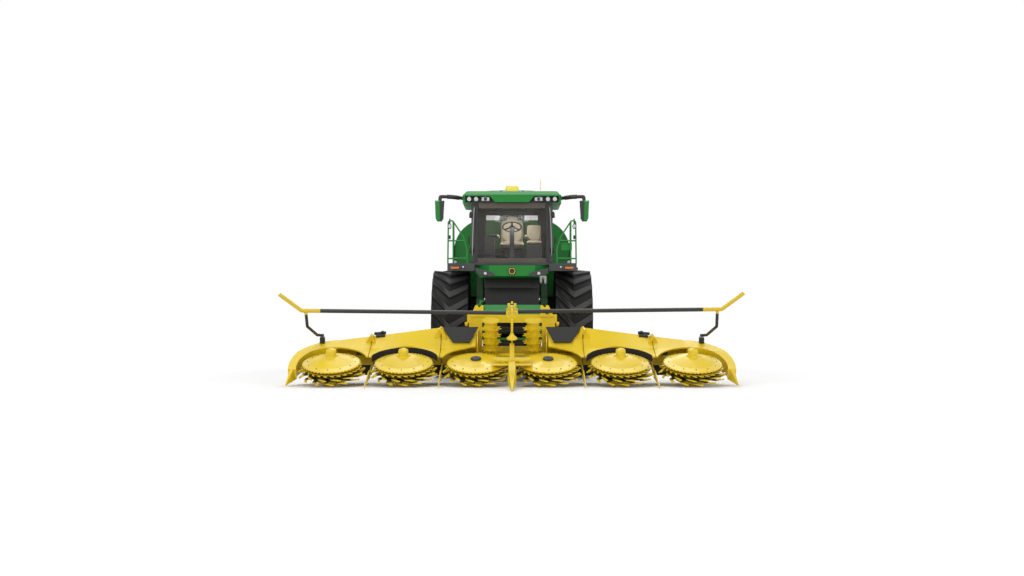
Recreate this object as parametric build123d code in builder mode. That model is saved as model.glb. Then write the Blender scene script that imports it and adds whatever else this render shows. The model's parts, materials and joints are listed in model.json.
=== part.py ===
"""Self-propelled forage harvester with a folding six-rotor header, in millimetres.

The machine faces -Y, its own left side is +X and the floor is z = 0. Sketch coordinates are
counted from the front axle, which lies AXLE_Y along the frame, so that the whole length is
centred on the origin. The header has a frame of its own, tilted forwards by HEADER_TILT: x
across, v rearwards along the rotors' plane and w square to it.
"""

import os
from math import asin, cos, degrees, pi, radians, sin, sqrt

from build123d import *

os.makedirs("parts", exist_ok=True)

# Overall reach, from the front axle
NOSE_REACH = 4200
SPOUT_REACH = 5200
AXLE_Y = (NOSE_REACH - SPOUT_REACH) / 2
WHEELBASE = 3200
GAP = 0.3
SLIT = 6

# Wheels: outer radius, width, centre across, rim seat radius, lugs a side, lug height
FRONT_R, FRONT_W, FRONT_X, FRONT_SEAT = 1050, 700, 1175, 540
REAR_R, REAR_W, REAR_X, REAR_SEAT = 745, 600, 1150, 360
FRONT_LUGS, REAR_LUGS = 20, 18
LUG_H = 52
LUG_SWEEP = 300
WALL = 45

# Header lift cylinders: across, and the pivot on the axle
LIFT_X, LIFT_Y, LIFT_Z = 490, -290, 880
LIFT_EYE_Y, LIFT_EYE_Z = -1200, 530
LIFT_ROD_R = 28

# Axles and chassis
DRIVE_R = 215
HUB_FACE = 985
RAIL_X, RAIL_W, RAIL_Z, RAIL_H = 560, 120, 1300, 220
RAIL_REAR_X = 330
RAIL_NECK_Y = 2050
RAIL_END_Y = 4450
SUBFRAME_Z, SUBFRAME_T, SUBFRAME_FRONT = 1980, 60, -1059.7
HITCH_Y, HITCH_Z, HITCH_R = RAIL_END_Y + 70, 830, 19
KINGPIN_X = 800
KINGPIN_R = 45
REAR_BEAM_H, REAR_BEAM_D = 200, 220

# Cab and platform
DECK_X, DECK_Z, DECK_T = 1200, 2140, 35
CAB_X, CAB_FRONT, CAB_REAR = 760, -1150, 330
CAB_Z, CAB_TOP = 2190, 3300
PANEL = 45
SHIELD_X = 700
DOOR_FRONT, DOOR_REAR = -1000, 60
ROOF_X, ROOF_T = 920, 210
ROOF_FRONT, ROOF_REAR = -1260, 400
POCKET_D, POCKET_TOP = 95, 3412

# Hood behind the cab
HOOD_Y, HOOD_END = 980, 4640
HOOD_X, HOOD_SHOULDER_X = 1180, 860
HOOD_Z, HOOD_TOP = 1600, 3150
HOOD_SKIN = 40
HOOD_DOOR_Y, HOOD_DOOR_END = 1680, 4200
HOOD_DOOR_Z, HOOD_DOOR_TOP = 1720, 2640
GRILLE_X, GRILLE_Z, GRILLE_TOP = 820, 1760, 2860

# Spout behind the cab
SPOUT_Y, SPOUT_RING_Z, TURRET_R = 720, 3180, 250
SPOUT_HALF, SPOUT_SKIN = 150, 12
SPOUT_PIVOT_Y, SPOUT_PIVOT_Z = 830, 3560
FLAP_Y, FLAP_Z = 4800, 3560
FLAP_CHEEK = SPOUT_HALF + 8 + SLIT
FLAP_PIN_Y, FLAP_PIN_Z, FLAP_PIN_R = FLAP_Y - 80, FLAP_Z + 80, 14

# Feeder housing and its hinge on the chassis
FEED_X = 535
FEED_PIVOT_Y, FEED_PIVOT_Z = -430, 1180
FEED_FRONT = -1640
FEED_PIN_R = 40

# Header frame
HEADER_TILT = 18
DRUM_Y, DRUM_Z = -2750, 209
DRUM_PITCH = 1235
FINGER_R, SAW_R, DOME_R = 580, 500, 470
RING_T = 12
GUARD_R = 600
PAN_LOW, PAN_TOP = -80, -21
BEAM_FRONT, BEAM_REAR = 640, 760
DECK_REAR = 900
FOLD_X, FOLD_W = 1250, 560
TIP_FOLD_X, TIP_FOLD_W = 2482, 430
STACK_X, STACK_V = 370, 760
STACK_LOW, STACK_TOP = 150, 690
BAR_X, BAR_W, BAR_R = 60, 1070, 34
BAR_V = 80
BAR_PITCH = 2 * BAR_R + 8
BAR_PIN_R = 14
EAR_PLACES, EAR_T, EAR_PIN_R = (680, 776), 25, 16


def level(z):
    """Horizontal sketch plane at height z, counted from the front axle."""
    return Plane(origin=(0, AXLE_Y, z))


def side(x):
    """Upright plane facing +X at x, whose own x is rearwards and whose own y is up."""
    return Plane(origin=(x, AXLE_Y, 0), x_dir=(0, 1, 0), z_dir=(1, 0, 0))


def front(y):
    """Upright plane facing -Y, y behind the front axle, seen as from ahead."""
    return Plane(origin=(0, AXLE_Y + y, 0), x_dir=(1, 0, 0), z_dir=(0, -1, 0))


LEAN = radians(HEADER_TILT)
HEADER = Plane(origin=(0, AXLE_Y + DRUM_Y, DRUM_Z), x_dir=(1, 0, 0), z_dir=(0, -sin(LEAN), cos(LEAN)))


def head_level(w, x=0, v=0):
    """Plane of the rotors, w above it, with its own origin at x and v."""
    return Plane(origin=HEADER.from_local_coords((x, v, w)), x_dir=HEADER.x_dir, z_dir=HEADER.z_dir)


def head_side(x):
    """Plane square to the header's width at x: its own x is v and its own y is w."""
    return Plane(origin=HEADER.from_local_coords((x, 0, 0)), x_dir=HEADER.y_dir, z_dir=HEADER.x_dir)


def head_front(v):
    """Plane facing the header's front at v: its own x is x and its own y is w."""
    return Plane(origin=HEADER.from_local_coords((0, v, 0)), x_dir=HEADER.x_dir, z_dir=-HEADER.y_dir)


def plate(plane, points, thickness, both=False, mode=Mode.ADD):
    """A flat plate with straight edges, added to the part being built."""
    with BuildSketch(plane) as outline:
        with BuildLine():
            Polyline(*points, close=True)
        make_face()
    extrude(outline.sketch, amount=thickness, both=both, mode=mode)


def block(plane, centre, size, thickness, both=False, mode=Mode.ADD):
    """A rectangular block standing on a plane, centred at a point of it."""
    with BuildSketch(plane) as outline:
        with Locations(centre):
            Rectangle(*size)
    extrude(outline.sketch, amount=thickness, both=both, mode=mode)


def disc(plane, centre, radius, thickness, both=False, mode=Mode.ADD):
    """A round disc or pin standing on a plane."""
    with BuildSketch(plane) as outline:
        with Locations(centre):
            Circle(radius)
    extrude(outline.sketch, amount=thickness, both=both, mode=mode)


def tube(points, radius, bend=0, mode=Mode.ADD):
    """A round bar along points, each corner rounded to the bend radius."""
    with BuildLine() as path:
        if bend:
            FilletPolyline(*points, radius=bend)
        else:
            Polyline(*points)
    start = path.wire() % 0
    with BuildSketch(Plane(origin=points[0], z_dir=start)) as outline:
        Circle(radius)
    sweep(outline.sketch, path=path.wire(), mode=mode)


def world(x, y, z):
    """A point counted from the front axle, in the part's own frame."""
    return (x, AXLE_Y + y, z)


def save(built, name):
    """Names a finished piece and writes it."""
    built.part.label = name
    export_step(built.part, f"parts/{name}.step")


SIDES = (("left", 1), ("right", -1))


# Tyres: a tread of flat-sided chevron lugs over a turned casing
def tread(outer, width, lugs, axle_y, centre_x):
    """The tread as one faceted solid: a ring of lug corners at each shoulder and at the middle."""
    root = outer - LUG_H
    pitch = 360 / lugs
    sweep_deg = degrees(LUG_SWEEP / outer)
    rings = []
    for across, tip, back, shift in ((-0.49, outer - 22, 1, -0.25), (0, outer, 0, 0), (0.49, outer - 22, 1, 0.25)):
        ring = []
        for k in range(lugs):
            start = -90 + (k + shift) * pitch - back * sweep_deg
            for radius, step in ((root, 0.02), (tip, 0.06), (tip, 0.42), (root, 0.50)):
                turn = radians(start + step * pitch)
                ring.append(world(centre_x + across * width, axle_y + radius * cos(turn), outer + radius * sin(turn)))
        rings.append(ring)
    faces = []
    count = 4 * lugs
    for near, far in zip(rings, rings[1:]):
        for k in range(count):
            n = (k + 1) % count
            faces.append(Face(Wire.make_polygon([near[k], near[n], far[n]])))
            faces.append(Face(Wire.make_polygon([near[k], far[n], far[k]])))
    for ring in (rings[0], rings[-1]):
        faces.append(Face(Wire.make_polygon(ring)))
    return Solid(Shell(faces))


def tyre(name, outer, width, seat, lugs, axle_y, centre_x):
    """A tyre with its chevron lugs, seated on the rim."""
    bead = 0.40 * width
    root = outer - LUG_H
    middle = 0.6 * seat + 0.4 * outer
    with BuildPart() as built:
        add(tread(outer, width, lugs, axle_y, centre_x))
        plane = Plane(origin=world(centre_x, axle_y, outer), x_dir=(1, 0, 0), z_dir=(0, -1, 0))
        with BuildSketch(plane) as wall:
            with BuildLine():
                Polyline((-bead, seat), (-0.5 * width, middle), (-0.49 * width, root - 60), (0.49 * width, root - 60),
                         (0.5 * width, middle), (bead, seat), close=True)
            make_face()
        revolve(wall.sketch, axis=Axis(world(centre_x, axle_y, outer), (1, 0, 0)))
        disc(side(centre_x), (axle_y, outer), seat, width, both=True, mode=Mode.SUBTRACT)
    save(built, name)


def rim(name, width, seat, radius_z, axle_y, centre_x, way, hub_face, dish):
    """A dished rim with its barrel, bead flanges, disc and hub."""
    seat_r = seat - GAP
    half = 0.40 * width
    inner = seat_r - 16
    with BuildPart() as built:
        axis = Axis(world(centre_x, axle_y, radius_z), (1, 0, 0))
        plane = Plane(origin=world(centre_x, axle_y, radius_z), x_dir=(way, 0, 0), z_dir=(0, -way, 0))
        hub = way * hub_face - way * centre_x
        with BuildSketch(plane) as profile:
            with BuildLine():
                Polyline((-half, inner), (-half, seat_r), (half, seat_r), (half, inner),
                         (dish + 90, inner), (dish + 18, 0.80 * inner), (dish + 18, 240), (hub + 120, 165),
                         (hub + 120, 0), (hub, 0), (hub, 200), (dish, 250), (dish, 0.80 * inner - 8),
                         (dish + 60, inner), close=True)
            make_face()
        revolve(profile.sketch, axis=axis)
        with BuildSketch(plane) as flanges:
            for across in (-half - 10, half + 10):
                with Locations((across, inner + 6)):
                    Rectangle(20, 20)
        revolve(flanges.sketch, axis=axis)
    save(built, name)


for side_name, s in SIDES:
    tyre(f"front_tyre_{side_name}", FRONT_R, FRONT_W, FRONT_SEAT, FRONT_LUGS, 0, s * FRONT_X)
    rim(f"front_rim_{side_name}", FRONT_W, FRONT_SEAT, FRONT_R, 0, s * FRONT_X, s, s * HUB_FACE, -60)
    tyre(f"rear_tyre_{side_name}", REAR_R, REAR_W, REAR_SEAT, REAR_LUGS, WHEELBASE, s * REAR_X)
    rim(f"rear_rim_{side_name}", REAR_W, REAR_SEAT, REAR_R, WHEELBASE, s * REAR_X, s, s * (REAR_X - 60), 20)

# Front axle: beam, final drives and hub flanges that the rims turn against
with BuildPart() as front_axle:
    block(side(0), (0, FRONT_R), (240, 260), RAIL_X, both=True)
    for way in (1, -1):
        plate(side(way * (LIFT_X - 60)), [(LIFT_Y - 45, LIFT_Z - 45), (LIFT_Y + 45, LIFT_Z - 45), (-60, 925), (-60, 1010),
                                          (-130, 1010), (LIFT_Y - 45, LIFT_Z + 45)], way * 15)
        disc(side(way * 420), (0, FRONT_R), DRIVE_R, way * (860 - 420))
        disc(side(way * 860), (0, FRONT_R), 0.8 * DRIVE_R, way * (HUB_FACE - 0.5 - 860))
        block(level(FRONT_R + 120), (way * (RAIL_X + RAIL_W / 2), 0), (RAIL_W, 340), RAIL_Z - FRONT_R - 120 - GAP)
save(front_axle, "front_axle")

# Chassis: two rails necked in at the steered wheels, cross members and the feeder's pivot ears
HITCH_TOP = RAIL_Z + 40 - GAP
with BuildPart() as main_frame:
    for way in (1, -1):
        plate(level(RAIL_Z), [(way * RAIL_X, -620), (way * (RAIL_X + RAIL_W), -620),
                              (way * (RAIL_X + RAIL_W), RAIL_NECK_Y), (way * (RAIL_REAR_X + RAIL_W), RAIL_NECK_Y + 350),
                              (way * (RAIL_REAR_X + RAIL_W), RAIL_END_Y), (way * RAIL_REAR_X, RAIL_END_Y),
                              (way * RAIL_REAR_X, RAIL_NECK_Y + 380), (way * RAIL_X, RAIL_NECK_Y + 30)], RAIL_H)
        plate(side(way * (FEED_X + 25)), [(-620, RAIL_Z + RAIL_H), (-620, FEED_PIVOT_Z - 90), (-300, FEED_PIVOT_Z - 90),
                                          (-230, RAIL_Z + RAIL_H)], way * 30)
        for y in (-350, 250):
            block(level(RAIL_Z + RAIL_H), (way * 620, y), (120, 160), SUBFRAME_Z - RAIL_Z - RAIL_H)
    for y in (1250, 2000, RAIL_END_Y - 120):
        block(level(RAIL_Z + 40), (0, y), (2 * RAIL_REAR_X + 60 if y > RAIL_NECK_Y else 2 * RAIL_X + 60, 120), 130)
    block(level(SUBFRAME_Z), (0, (SUBFRAME_FRONT + 390) / 2), (1360, 390 - SUBFRAME_FRONT), SUBFRAME_T)
    for way in (1, -1):
        for y in (-850, -400, 250):
            block(level(SUBFRAME_Z + SUBFRAME_T), (way * 640, y), (80, 100), DECK_Z - SUBFRAME_Z - SUBFRAME_T - GAP)
            block(level(DECK_Z - 30), (way * 900, y), (560, 60), 30 - GAP)
    disc(side(0), (FEED_PIVOT_Y, FEED_PIVOT_Z), FEED_PIN_R, FEED_X + 55, both=True)
    block(side(0), (FEED_PIVOT_Y, FEED_PIVOT_Z), (3 * FEED_PIN_R, 3 * FEED_PIN_R), FEED_X - 35, both=True, mode=Mode.SUBTRACT)
    # Rear hitch, a solid of its own under the last cross member: a drop plate with two jaws bored for the drawbar pin
    plate(side(0), [(4270, HITCH_TOP), (4390, HITCH_TOP), (RAIL_END_Y, 960), (RAIL_END_Y, HITCH_Z),
                    (4360, HITCH_Z), (4270, 960)], 60, both=True)
    for z in (HITCH_Z, HITCH_Z + 95):
        block(level(z), (0, HITCH_Y - 30), (130, 150), 25)
    disc(level(HITCH_Z), (0, HITCH_Y), HITCH_R, 120, mode=Mode.SUBTRACT)
save(main_frame, "main_frame")

ROD_Y, ROD_Z, ROD_R = WHEELBASE + 220, REAR_R - 60, 25

# Rear axle: beam hung from the rails, with an eye at each end and the steering cylinder behind
with BuildPart() as rear_axle_beam:
    block(side(0), (WHEELBASE, REAR_R), (REAR_BEAM_D, REAR_BEAM_H), KINGPIN_X - 90, both=True)
    for way in (1, -1):
        disc(level(REAR_R - 100), (way * KINGPIN_X, WHEELBASE), 85, 200)
        block(side(way * (KINGPIN_X - 90)), (WHEELBASE, REAR_R), (140, 200), way * 60)
        disc(level(REAR_R - 100), (way * KINGPIN_X, WHEELBASE), KINGPIN_R + GAP, 200, mode=Mode.SUBTRACT)
        block(level(REAR_R + 100), (way * (RAIL_REAR_X + RAIL_W / 2), WHEELBASE), (RAIL_W, 180), RAIL_Z - REAR_R - 100 - GAP)
    disc(side(0), (ROD_Y, ROD_Z), 55, 300, both=True)
    for way in (1, -1):
        block(side(way * 200), (WHEELBASE + 150, ROD_Z), (110, 90), way * 50)
    disc(side(0), (ROD_Y, ROD_Z), ROD_R + GAP, 300, both=True, mode=Mode.SUBTRACT)
save(rear_axle_beam, "rear_axle_beam")

# Steering knuckles: fork round the beam's eye, kingpin, stub axle and steering arm
STUB_R = 70
for side_name, s in SIDES:
    with BuildPart() as knuckle:
        for low in (REAR_R - 150, REAR_R + 101):
            disc(level(low), (s * KINGPIN_X, WHEELBASE), 80, 49)
            block(level(low), (s * (KINGPIN_X + 75), WHEELBASE), (110, 150), 49)
        disc(level(REAR_R - 150), (s * KINGPIN_X, WHEELBASE), KINGPIN_R, 300)
        block(side(s * (KINGPIN_X + 92)), (WHEELBASE, REAR_R), (150, 300), s * 40)
        disc(side(s * (KINGPIN_X + 132)), (WHEELBASE, REAR_R), STUB_R, s * (REAR_X - 60 - 0.5 - KINGPIN_X - 132))
        plate(level(REAR_R - 150), [(s * (KINGPIN_X - 50), WHEELBASE + 40), (s * (KINGPIN_X + 60), WHEELBASE + 40),
                                    (s * (KINGPIN_X + 30), WHEELBASE + 260), (s * (KINGPIN_X - 30), WHEELBASE + 260)], 40)
    save(knuckle, f"steering_knuckle_{side_name}")

# Rod through the steering cylinder
with BuildPart() as steering_rod:
    disc(side(0), (ROD_Y, ROD_Z), ROD_R, 620, both=True)
save(steering_rod, "steering_rod")

# Engine: one plain block between the rails
with BuildPart() as engine_block:
    block(level(RAIL_Z + RAIL_H + GAP), (0, 2950), (900, 1500), 900)
save(engine_block, "engine_block")

# Crop tower: cutterhead housing between the front wheels and the chute behind the cab
with BuildPart() as crop_tower:
    plate(side(0), [(-300, 1250), (-160, 1215), (420, 1230), (880, 1700), (880, SPOUT_RING_Z - 60),
                    (560, SPOUT_RING_Z - 60), (560, 2000), (-60, 1560), (-300, 1400)], 170, both=True)
    plate(side(0), [(-590, 840), (-590, 1120), (-500, 1290), (-330, 1400), (-160, 1360), (-160, 760), (-420, 740)],
          420, both=True)
    disc(level(SPOUT_RING_Z - 60), (0, SPOUT_Y), TURRET_R + 5, 60 - 0.5)
    block(level(SPOUT_RING_Z - 60), (0, SPOUT_Y), (280, 250), 60, mode=Mode.SUBTRACT)
    plate(side(0), [(580, 2100), (580, SPOUT_RING_Z), (860, SPOUT_RING_Z), (860, 2100)], 140, both=True, mode=Mode.SUBTRACT)
    for way in (1, -1):
        block(level(RAIL_Z + 60), (way * 365, 700), (390, 160), 120)
save(crop_tower, "crop_tower")

# Side tanks under the hood, between the wheels
with BuildPart() as side_tanks:
    for way in (1, -1):
        with BuildSketch(side(way * (RAIL_X + RAIL_W + GAP))) as outline:
            with BuildLine():
                Polyline((1180, 900), (2040, 900), (2120, 1300), (2120, 1590), (1180, 1590), close=True)
            make_face()
        extrude(outline.sketch, amount=way * 420)
    fillet(side_tanks.edges().filter_by(Axis.X), 60)
save(side_tanks, "side_tanks")

# Platform with its dark front fascia
with BuildPart() as platform:
    for way in (1, -1):
        plate(level(DECK_Z), [(way * (CAB_X + 8), CAB_FRONT), (way * DECK_X, CAB_FRONT + 80), (way * DECK_X, 900),
                              (way * (CAB_X + 8), 900)], DECK_T)
        plate(level(2030), [(way * 690, -1230), (way * 1060, -1235), (way * DECK_X, -1190), (way * DECK_X, -1080),
                            (way * 690, -1080)], DECK_Z + DECK_T - 2030)
    block(level(DECK_Z), (0, -340), (1400, 1660), 50 - GAP)
    # Landing beside the hood, and the ladder behind the front wheel
    block(level(DECK_Z), (1268, 1210), (150, 780), DECK_T)
    for y in (1140, 1540):
        plate(front(y), [(1300, DECK_Z + DECK_T), (1343, DECK_Z + DECK_T), (1530, 520), (1490, 520)], 20)
    for k in range(5):
        z = 560 + k * 320
        block(level(z), (1330 + (DECK_Z - z) * 0.115, 1335), (150, 420), 30)
save(platform, "platform")

# Front guard rails that close the walkways beside the cab
RAIL_R = 14
with BuildPart() as guard_rails:
    for way in (1, -1):
        tube([world(way * 1190, -1190, DECK_Z + DECK_T + GAP), world(way * 1180, -1190, 2960), world(way * 1100, -1190, 2960),
              world(way * 900, -1190, 2660), world(way * 820, -1190, 2400)], RAIL_R, 40)
        tube([world(way * 1090, -1190, DECK_Z + DECK_T + GAP), world(way * 1090, -1190, 2940)], RAIL_R)
        tube([world(way * 1180, -1190, 2590), world(way * 880, -1190, 2590)], RAIL_R)
        tube([world(way * 1180, -1190, 2260), world(way * 820, -1190, 2260)], RAIL_R)
        tube([world(way * 830, -1190, DECK_Z + DECK_T + GAP), world(way * 830, -1190, 2430)], RAIL_R)
        tube([world(way * 1190, 960, DECK_Z + DECK_T + GAP), world(way * 1190, 960, 3050), world(way * 1190, 780, 3050),
              world(way * 1190, 780, DECK_Z + DECK_T + GAP)], RAIL_R, 60)
save(guard_rails, "guard_rails")


# Cab: one hollow shell with its windows and doorways cut
def cab_outline(inset):
    """Plan of the cab, narrower at the windscreen."""
    wide = CAB_X - inset
    narrow = SHIELD_X - inset
    return [(-narrow, CAB_FRONT + inset), (narrow, CAB_FRONT + inset), (wide, DOOR_FRONT - 30 + inset / 2),
            (wide, DOOR_REAR + 40), (0.78 * wide, CAB_REAR - inset), (-0.78 * wide, CAB_REAR - inset),
            (-wide, DOOR_REAR + 40), (-wide, DOOR_FRONT - 30 + inset / 2)]


with BuildPart() as cab_shell:
    plate(level(CAB_Z), cab_outline(0), CAB_TOP - CAB_Z)
    plate(level(CAB_Z + PANEL), cab_outline(PANEL), CAB_TOP - CAB_Z, mode=Mode.SUBTRACT)
    block(front(CAB_FRONT - 20), (0, (CAB_Z + CAB_TOP) / 2), (2 * SHIELD_X - 90, CAB_TOP - CAB_Z - 90), -120, mode=Mode.SUBTRACT)
    block(front(CAB_REAR - 120), (0, 2860), (0.78 * 2 * CAB_X - 160, 660), -240, mode=Mode.SUBTRACT)
    block(side(0), ((DOOR_FRONT + DOOR_REAR) / 2, (CAB_Z + PANEL + CAB_TOP - 40) / 2),
          (DOOR_REAR - DOOR_FRONT, CAB_TOP - CAB_Z - PANEL - 40), CAB_X + 40, both=True, mode=Mode.SUBTRACT)
save(cab_shell, "cab_shell")

with BuildPart() as cab_glass:
    block(front(CAB_FRONT), (0, (CAB_Z + CAB_TOP) / 2), (2 * SHIELD_X - 90 - 2 * GAP, CAB_TOP - CAB_Z - 90 - 2 * GAP), -8)
    block(front(CAB_REAR - 12), (0, 2860), (0.78 * 2 * CAB_X - 160 - 2 * GAP, 660 - 2 * GAP), 8)
save(cab_glass, "cab_glass")

# Doors: frame with its window, hinged at the front pillar, and the pane
DOOR_Z, DOOR_TOP = CAB_Z + PANEL + SLIT, CAB_TOP - 40 - SLIT
DOOR_T = 40
for side_name, s in SIDES:
    with BuildPart() as door:
        block(side(s * CAB_X), ((DOOR_FRONT + DOOR_REAR) / 2, (DOOR_Z + DOOR_TOP) / 2),
              (DOOR_REAR - DOOR_FRONT - 2 * SLIT, DOOR_TOP - DOOR_Z), -s * DOOR_T)
        block(side(s * CAB_X), ((DOOR_FRONT + DOOR_REAR) / 2, (DOOR_Z + DOOR_TOP) / 2 + 10),
              (DOOR_REAR - DOOR_FRONT - 2 * SLIT - 130, DOOR_TOP - DOOR_Z - 150), -s * DOOR_T, mode=Mode.SUBTRACT)
        for z in (DOOR_Z + 180, DOOR_TOP - 180):
            block(side(s * (CAB_X + 0.5)), (DOOR_FRONT + 27, z), (54, 60), s * 24.5)
            block(side(s * (CAB_X - 0.5)), (DOOR_FRONT + 35, z), (30, 60), s * 2)
            disc(level(z - 45), (s * (CAB_X + 25), DOOR_FRONT - 5), 16, 90)
    save(door, f"door_{side_name}")
    with BuildPart() as pane:
        block(side(s * (CAB_X - 14)), ((DOOR_FRONT + DOOR_REAR) / 2, (DOOR_Z + DOOR_TOP) / 2 + 10),
              (DOOR_REAR - DOOR_FRONT - 2 * SLIT - 130 - 2 * GAP, DOOR_TOP - DOOR_Z - 150 - 2 * GAP), -s * 8)
    save(pane, f"door_glass_{side_name}")

with BuildPart() as cab_roof:
    with BuildSketch(level(CAB_TOP + GAP)) as outline:
        with Locations((0, (ROOF_FRONT + ROOF_REAR) / 2)):
            RectangleRounded(2 * ROOF_X, ROOF_REAR - ROOF_FRONT, 160)
    extrude(outline.sketch, amount=ROOF_T)
    chamfer(cab_roof.faces().sort_by(Axis.Z)[-1].edges(), 70)
    for way in (1, -1):
        plate(front(ROOF_FRONT + POCKET_D), [(way * 310, CAB_TOP), (way * 410, POCKET_TOP), (way * 865, POCKET_TOP),
                                             (way * 865, CAB_TOP)], POCKET_D + 5, mode=Mode.SUBTRACT)
save(cab_roof, "cab_roof")

# Roof lamps: two round ones and a rectangular one a side, hung in the roof's front pockets
LAMPS = (
    # across, height, width, tall
    (793, 3357, 82, 82), (664, 3357, 82, 82), (491, 3357, 150, 76),
)
with BuildPart() as roof_lamps:
    for way in (1, -1):
        for across, z, wide, tall in LAMPS:
            if wide == tall:
                disc(front(ROOF_FRONT + 70), (way * across, z), wide / 2, 58)
            else:
                block(front(ROOF_FRONT + 70), (way * across, z), (wide, tall), 58)
            block(level(z), (way * across, ROOF_FRONT + 45), (34, 30), POCKET_TOP - GAP - z)
save(roof_lamps, "roof_lamps")

ROOF_LID = CAB_TOP + GAP + ROOF_T
with BuildPart() as roof_aerials:
    with BuildSketch(level(ROOF_LID + GAP)) as outline:
        with Locations((0, -950)):
            RectangleRounded(270, 300, 60)
    extrude(outline.sketch, amount=110, taper=14)
    disc(level(ROOF_LID + GAP), (540, -700), 30, 40)
    disc(level(ROOF_LID + 40), (540, -700), 6, 240)
save(roof_aerials, "roof_aerials")

# Mirrors: tapered housings on arms from the roof's sides
with BuildPart() as mirrors:
    for way in (1, -1):
        disc(side(way * (ROOF_X + GAP)), (-1000, 3400), 38, way * 25)
        tube([world(way * (ROOF_X + 22), -1000, 3400), world(way * 1120, -1180, 3405), world(way * 1320, -1230, 3405),
              world(way * 1330, -1230, 3300)], 24, 50)
        slices = []
        for y, inset in ((-1290, 22), (-1265, 0), (-1185, 0)):
            with BuildSketch(front(y)) as cut:
                with BuildLine():
                    Polyline((way * (1250 + inset), 3325 - inset), (way * (1425 - inset), 3330 - inset),
                             (way * (1412 - inset), 3000), (way * (1385 - inset / 2), 2945 + inset),
                             (way * (1300 + inset / 2), 2945 + inset), (way * (1272 + inset), 3000), close=True)
                make_face()
            slices.append(cut.sketch)
        loft(slices, ruled=True)
save(mirrors, "mirrors")

# Seats, steering column and console on the cab floor
FLOOR = CAB_Z + PANEL
with BuildPart() as cab_seats:
    block(level(FLOOR + GAP), (0, -300), (360, 380), 260)
    block(level(FLOOR + 260), (0, -300), (520, 520), 150)
    plate(side(0), [(-90, FLOOR + 380), (40, FLOOR + 380), (110, FLOOR + 860), (10, FLOOR + 860)], 240, both=True)
    block(level(FLOOR + GAP), (430, -260), (300, 340), 330)
    block(level(FLOOR + 330), (430, -260), (300, 400), 90)
    plate(side(430), [(-120, FLOOR + 400), (-60, FLOOR + 400), (-20, FLOOR + 720), (-80, FLOOR + 720)], 140, both=True)
save(cab_seats, "cab_seats")

WHEEL_Y, WHEEL_Z = -690, FLOOR + 640
with BuildPart() as cab_controls:
    disc(level(FLOOR + GAP), (0, -860), 80, 20)
    tube([world(0, -860, FLOOR + 10), world(0, -840, FLOOR + 300), world(0, WHEEL_Y, WHEEL_Z)], 45)
    with BuildSketch(Plane(origin=world(0, WHEEL_Y, WHEEL_Z), x_dir=(1, 0, 0), z_dir=(0, 0.45, 0.9))) as hub:
        Circle(50)
        Rectangle(340, 24)
        Rectangle(24, 340)
    extrude(hub.sketch, amount=20)
    with BuildSketch(Plane(origin=world(0, WHEEL_Y, WHEEL_Z), x_dir=(1, 0, 0), z_dir=(0, 0.45, 0.9))) as ring:
        Circle(190)
        Circle(162, mode=Mode.SUBTRACT)
    extrude(ring.sketch, amount=24)
    block(level(FLOOR + GAP), (-430, -330), (200, 520), 480)
    block(level(FLOOR + 480), (-370, -480), (180, 260), 60)
save(cab_controls, "cab_controls")

# Nose panel under the windscreen, with its lamp pods
with BuildPart() as nose_panel:
    sections = (
        # behind the axle, half width, low, top
        (-1330, 420, 1930, 2130),
        (-1060, 660, 1900, 2140 - 2 * GAP),
    )
    slices = []
    for y, half, low, high in sections:
        with BuildSketch(front(y)) as cut:
            with BuildLine():
                Polyline((-half + 60, low), (half - 60, low), (half, low + 90), (half, high), (-half, high),
                         (-half, low + 90), close=True)
            make_face()
        slices.append(cut.sketch)
    loft(slices, ruled=True)
save(nose_panel, "nose_panel")

with BuildPart() as apron:
    plate(side(0), [(-1050, SUBFRAME_Z - GAP), (-1034, SUBFRAME_Z - GAP), (-1034, 1900), (-1165, 1720),
                    (-1181, 1720), (-1050, 1905)], 510, both=True)
save(apron, "apron")


HINGE_X, HINGE_Z, HINGE_PIN_R = HOOD_X + 8, HOOD_DOOR_TOP - 3, 6
HOOD_HINGES = (HOOD_DOOR_Y + 400, HOOD_DOOR_END - 400)
GRILLE_HINGES = (GRILLE_Z + 200, GRILLE_TOP - 200)


# Hood: one skin with a bulged shoulder, open under the doors and the rear grille
def hood_outline(inset):
    """Section of the hood, square to the length."""
    bottom, shoulder = HOOD_X - inset, HOOD_SHOULDER_X - inset
    with BuildSketch(front(HOOD_Y)) as outline:
        with BuildLine():
            Polyline((-bottom, HOOD_Z - inset), (bottom, HOOD_Z - inset), (bottom, 2450))
            ThreePointArc((bottom, 2450), (bottom - 90, 2860 - inset / 2), (shoulder - 160, HOOD_TOP - inset))
            Line((shoulder - 160, HOOD_TOP - inset), (-(shoulder - 160), HOOD_TOP - inset))
            ThreePointArc((-(shoulder - 160), HOOD_TOP - inset), (-(bottom - 90), 2860 - inset / 2), (-bottom, 2450))
            Line((-bottom, 2450), (-bottom, HOOD_Z - inset))
        make_face()
    return outline.sketch


def hood_skin():
    """The hood's skin, open below, with its end walls."""
    extrude(hood_outline(0), amount=-(HOOD_END - HOOD_Y))
    inner = extrude(hood_outline(HOOD_SKIN), amount=-(HOOD_END - HOOD_Y - 2 * HOOD_SKIN), mode=Mode.PRIVATE)
    add(inner.moved(Location((0, HOOD_SKIN, 0))), mode=Mode.SUBTRACT)


def door_cut(slit, mode):
    """The hood's two side doorways."""
    block(side(0), ((HOOD_DOOR_Y + HOOD_DOOR_END) / 2, (HOOD_DOOR_Z + HOOD_DOOR_TOP) / 2),
          (HOOD_DOOR_END - HOOD_DOOR_Y - 2 * slit, HOOD_DOOR_TOP - HOOD_DOOR_Z - 2 * slit), HOOD_X + 50, both=True, mode=mode)


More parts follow.
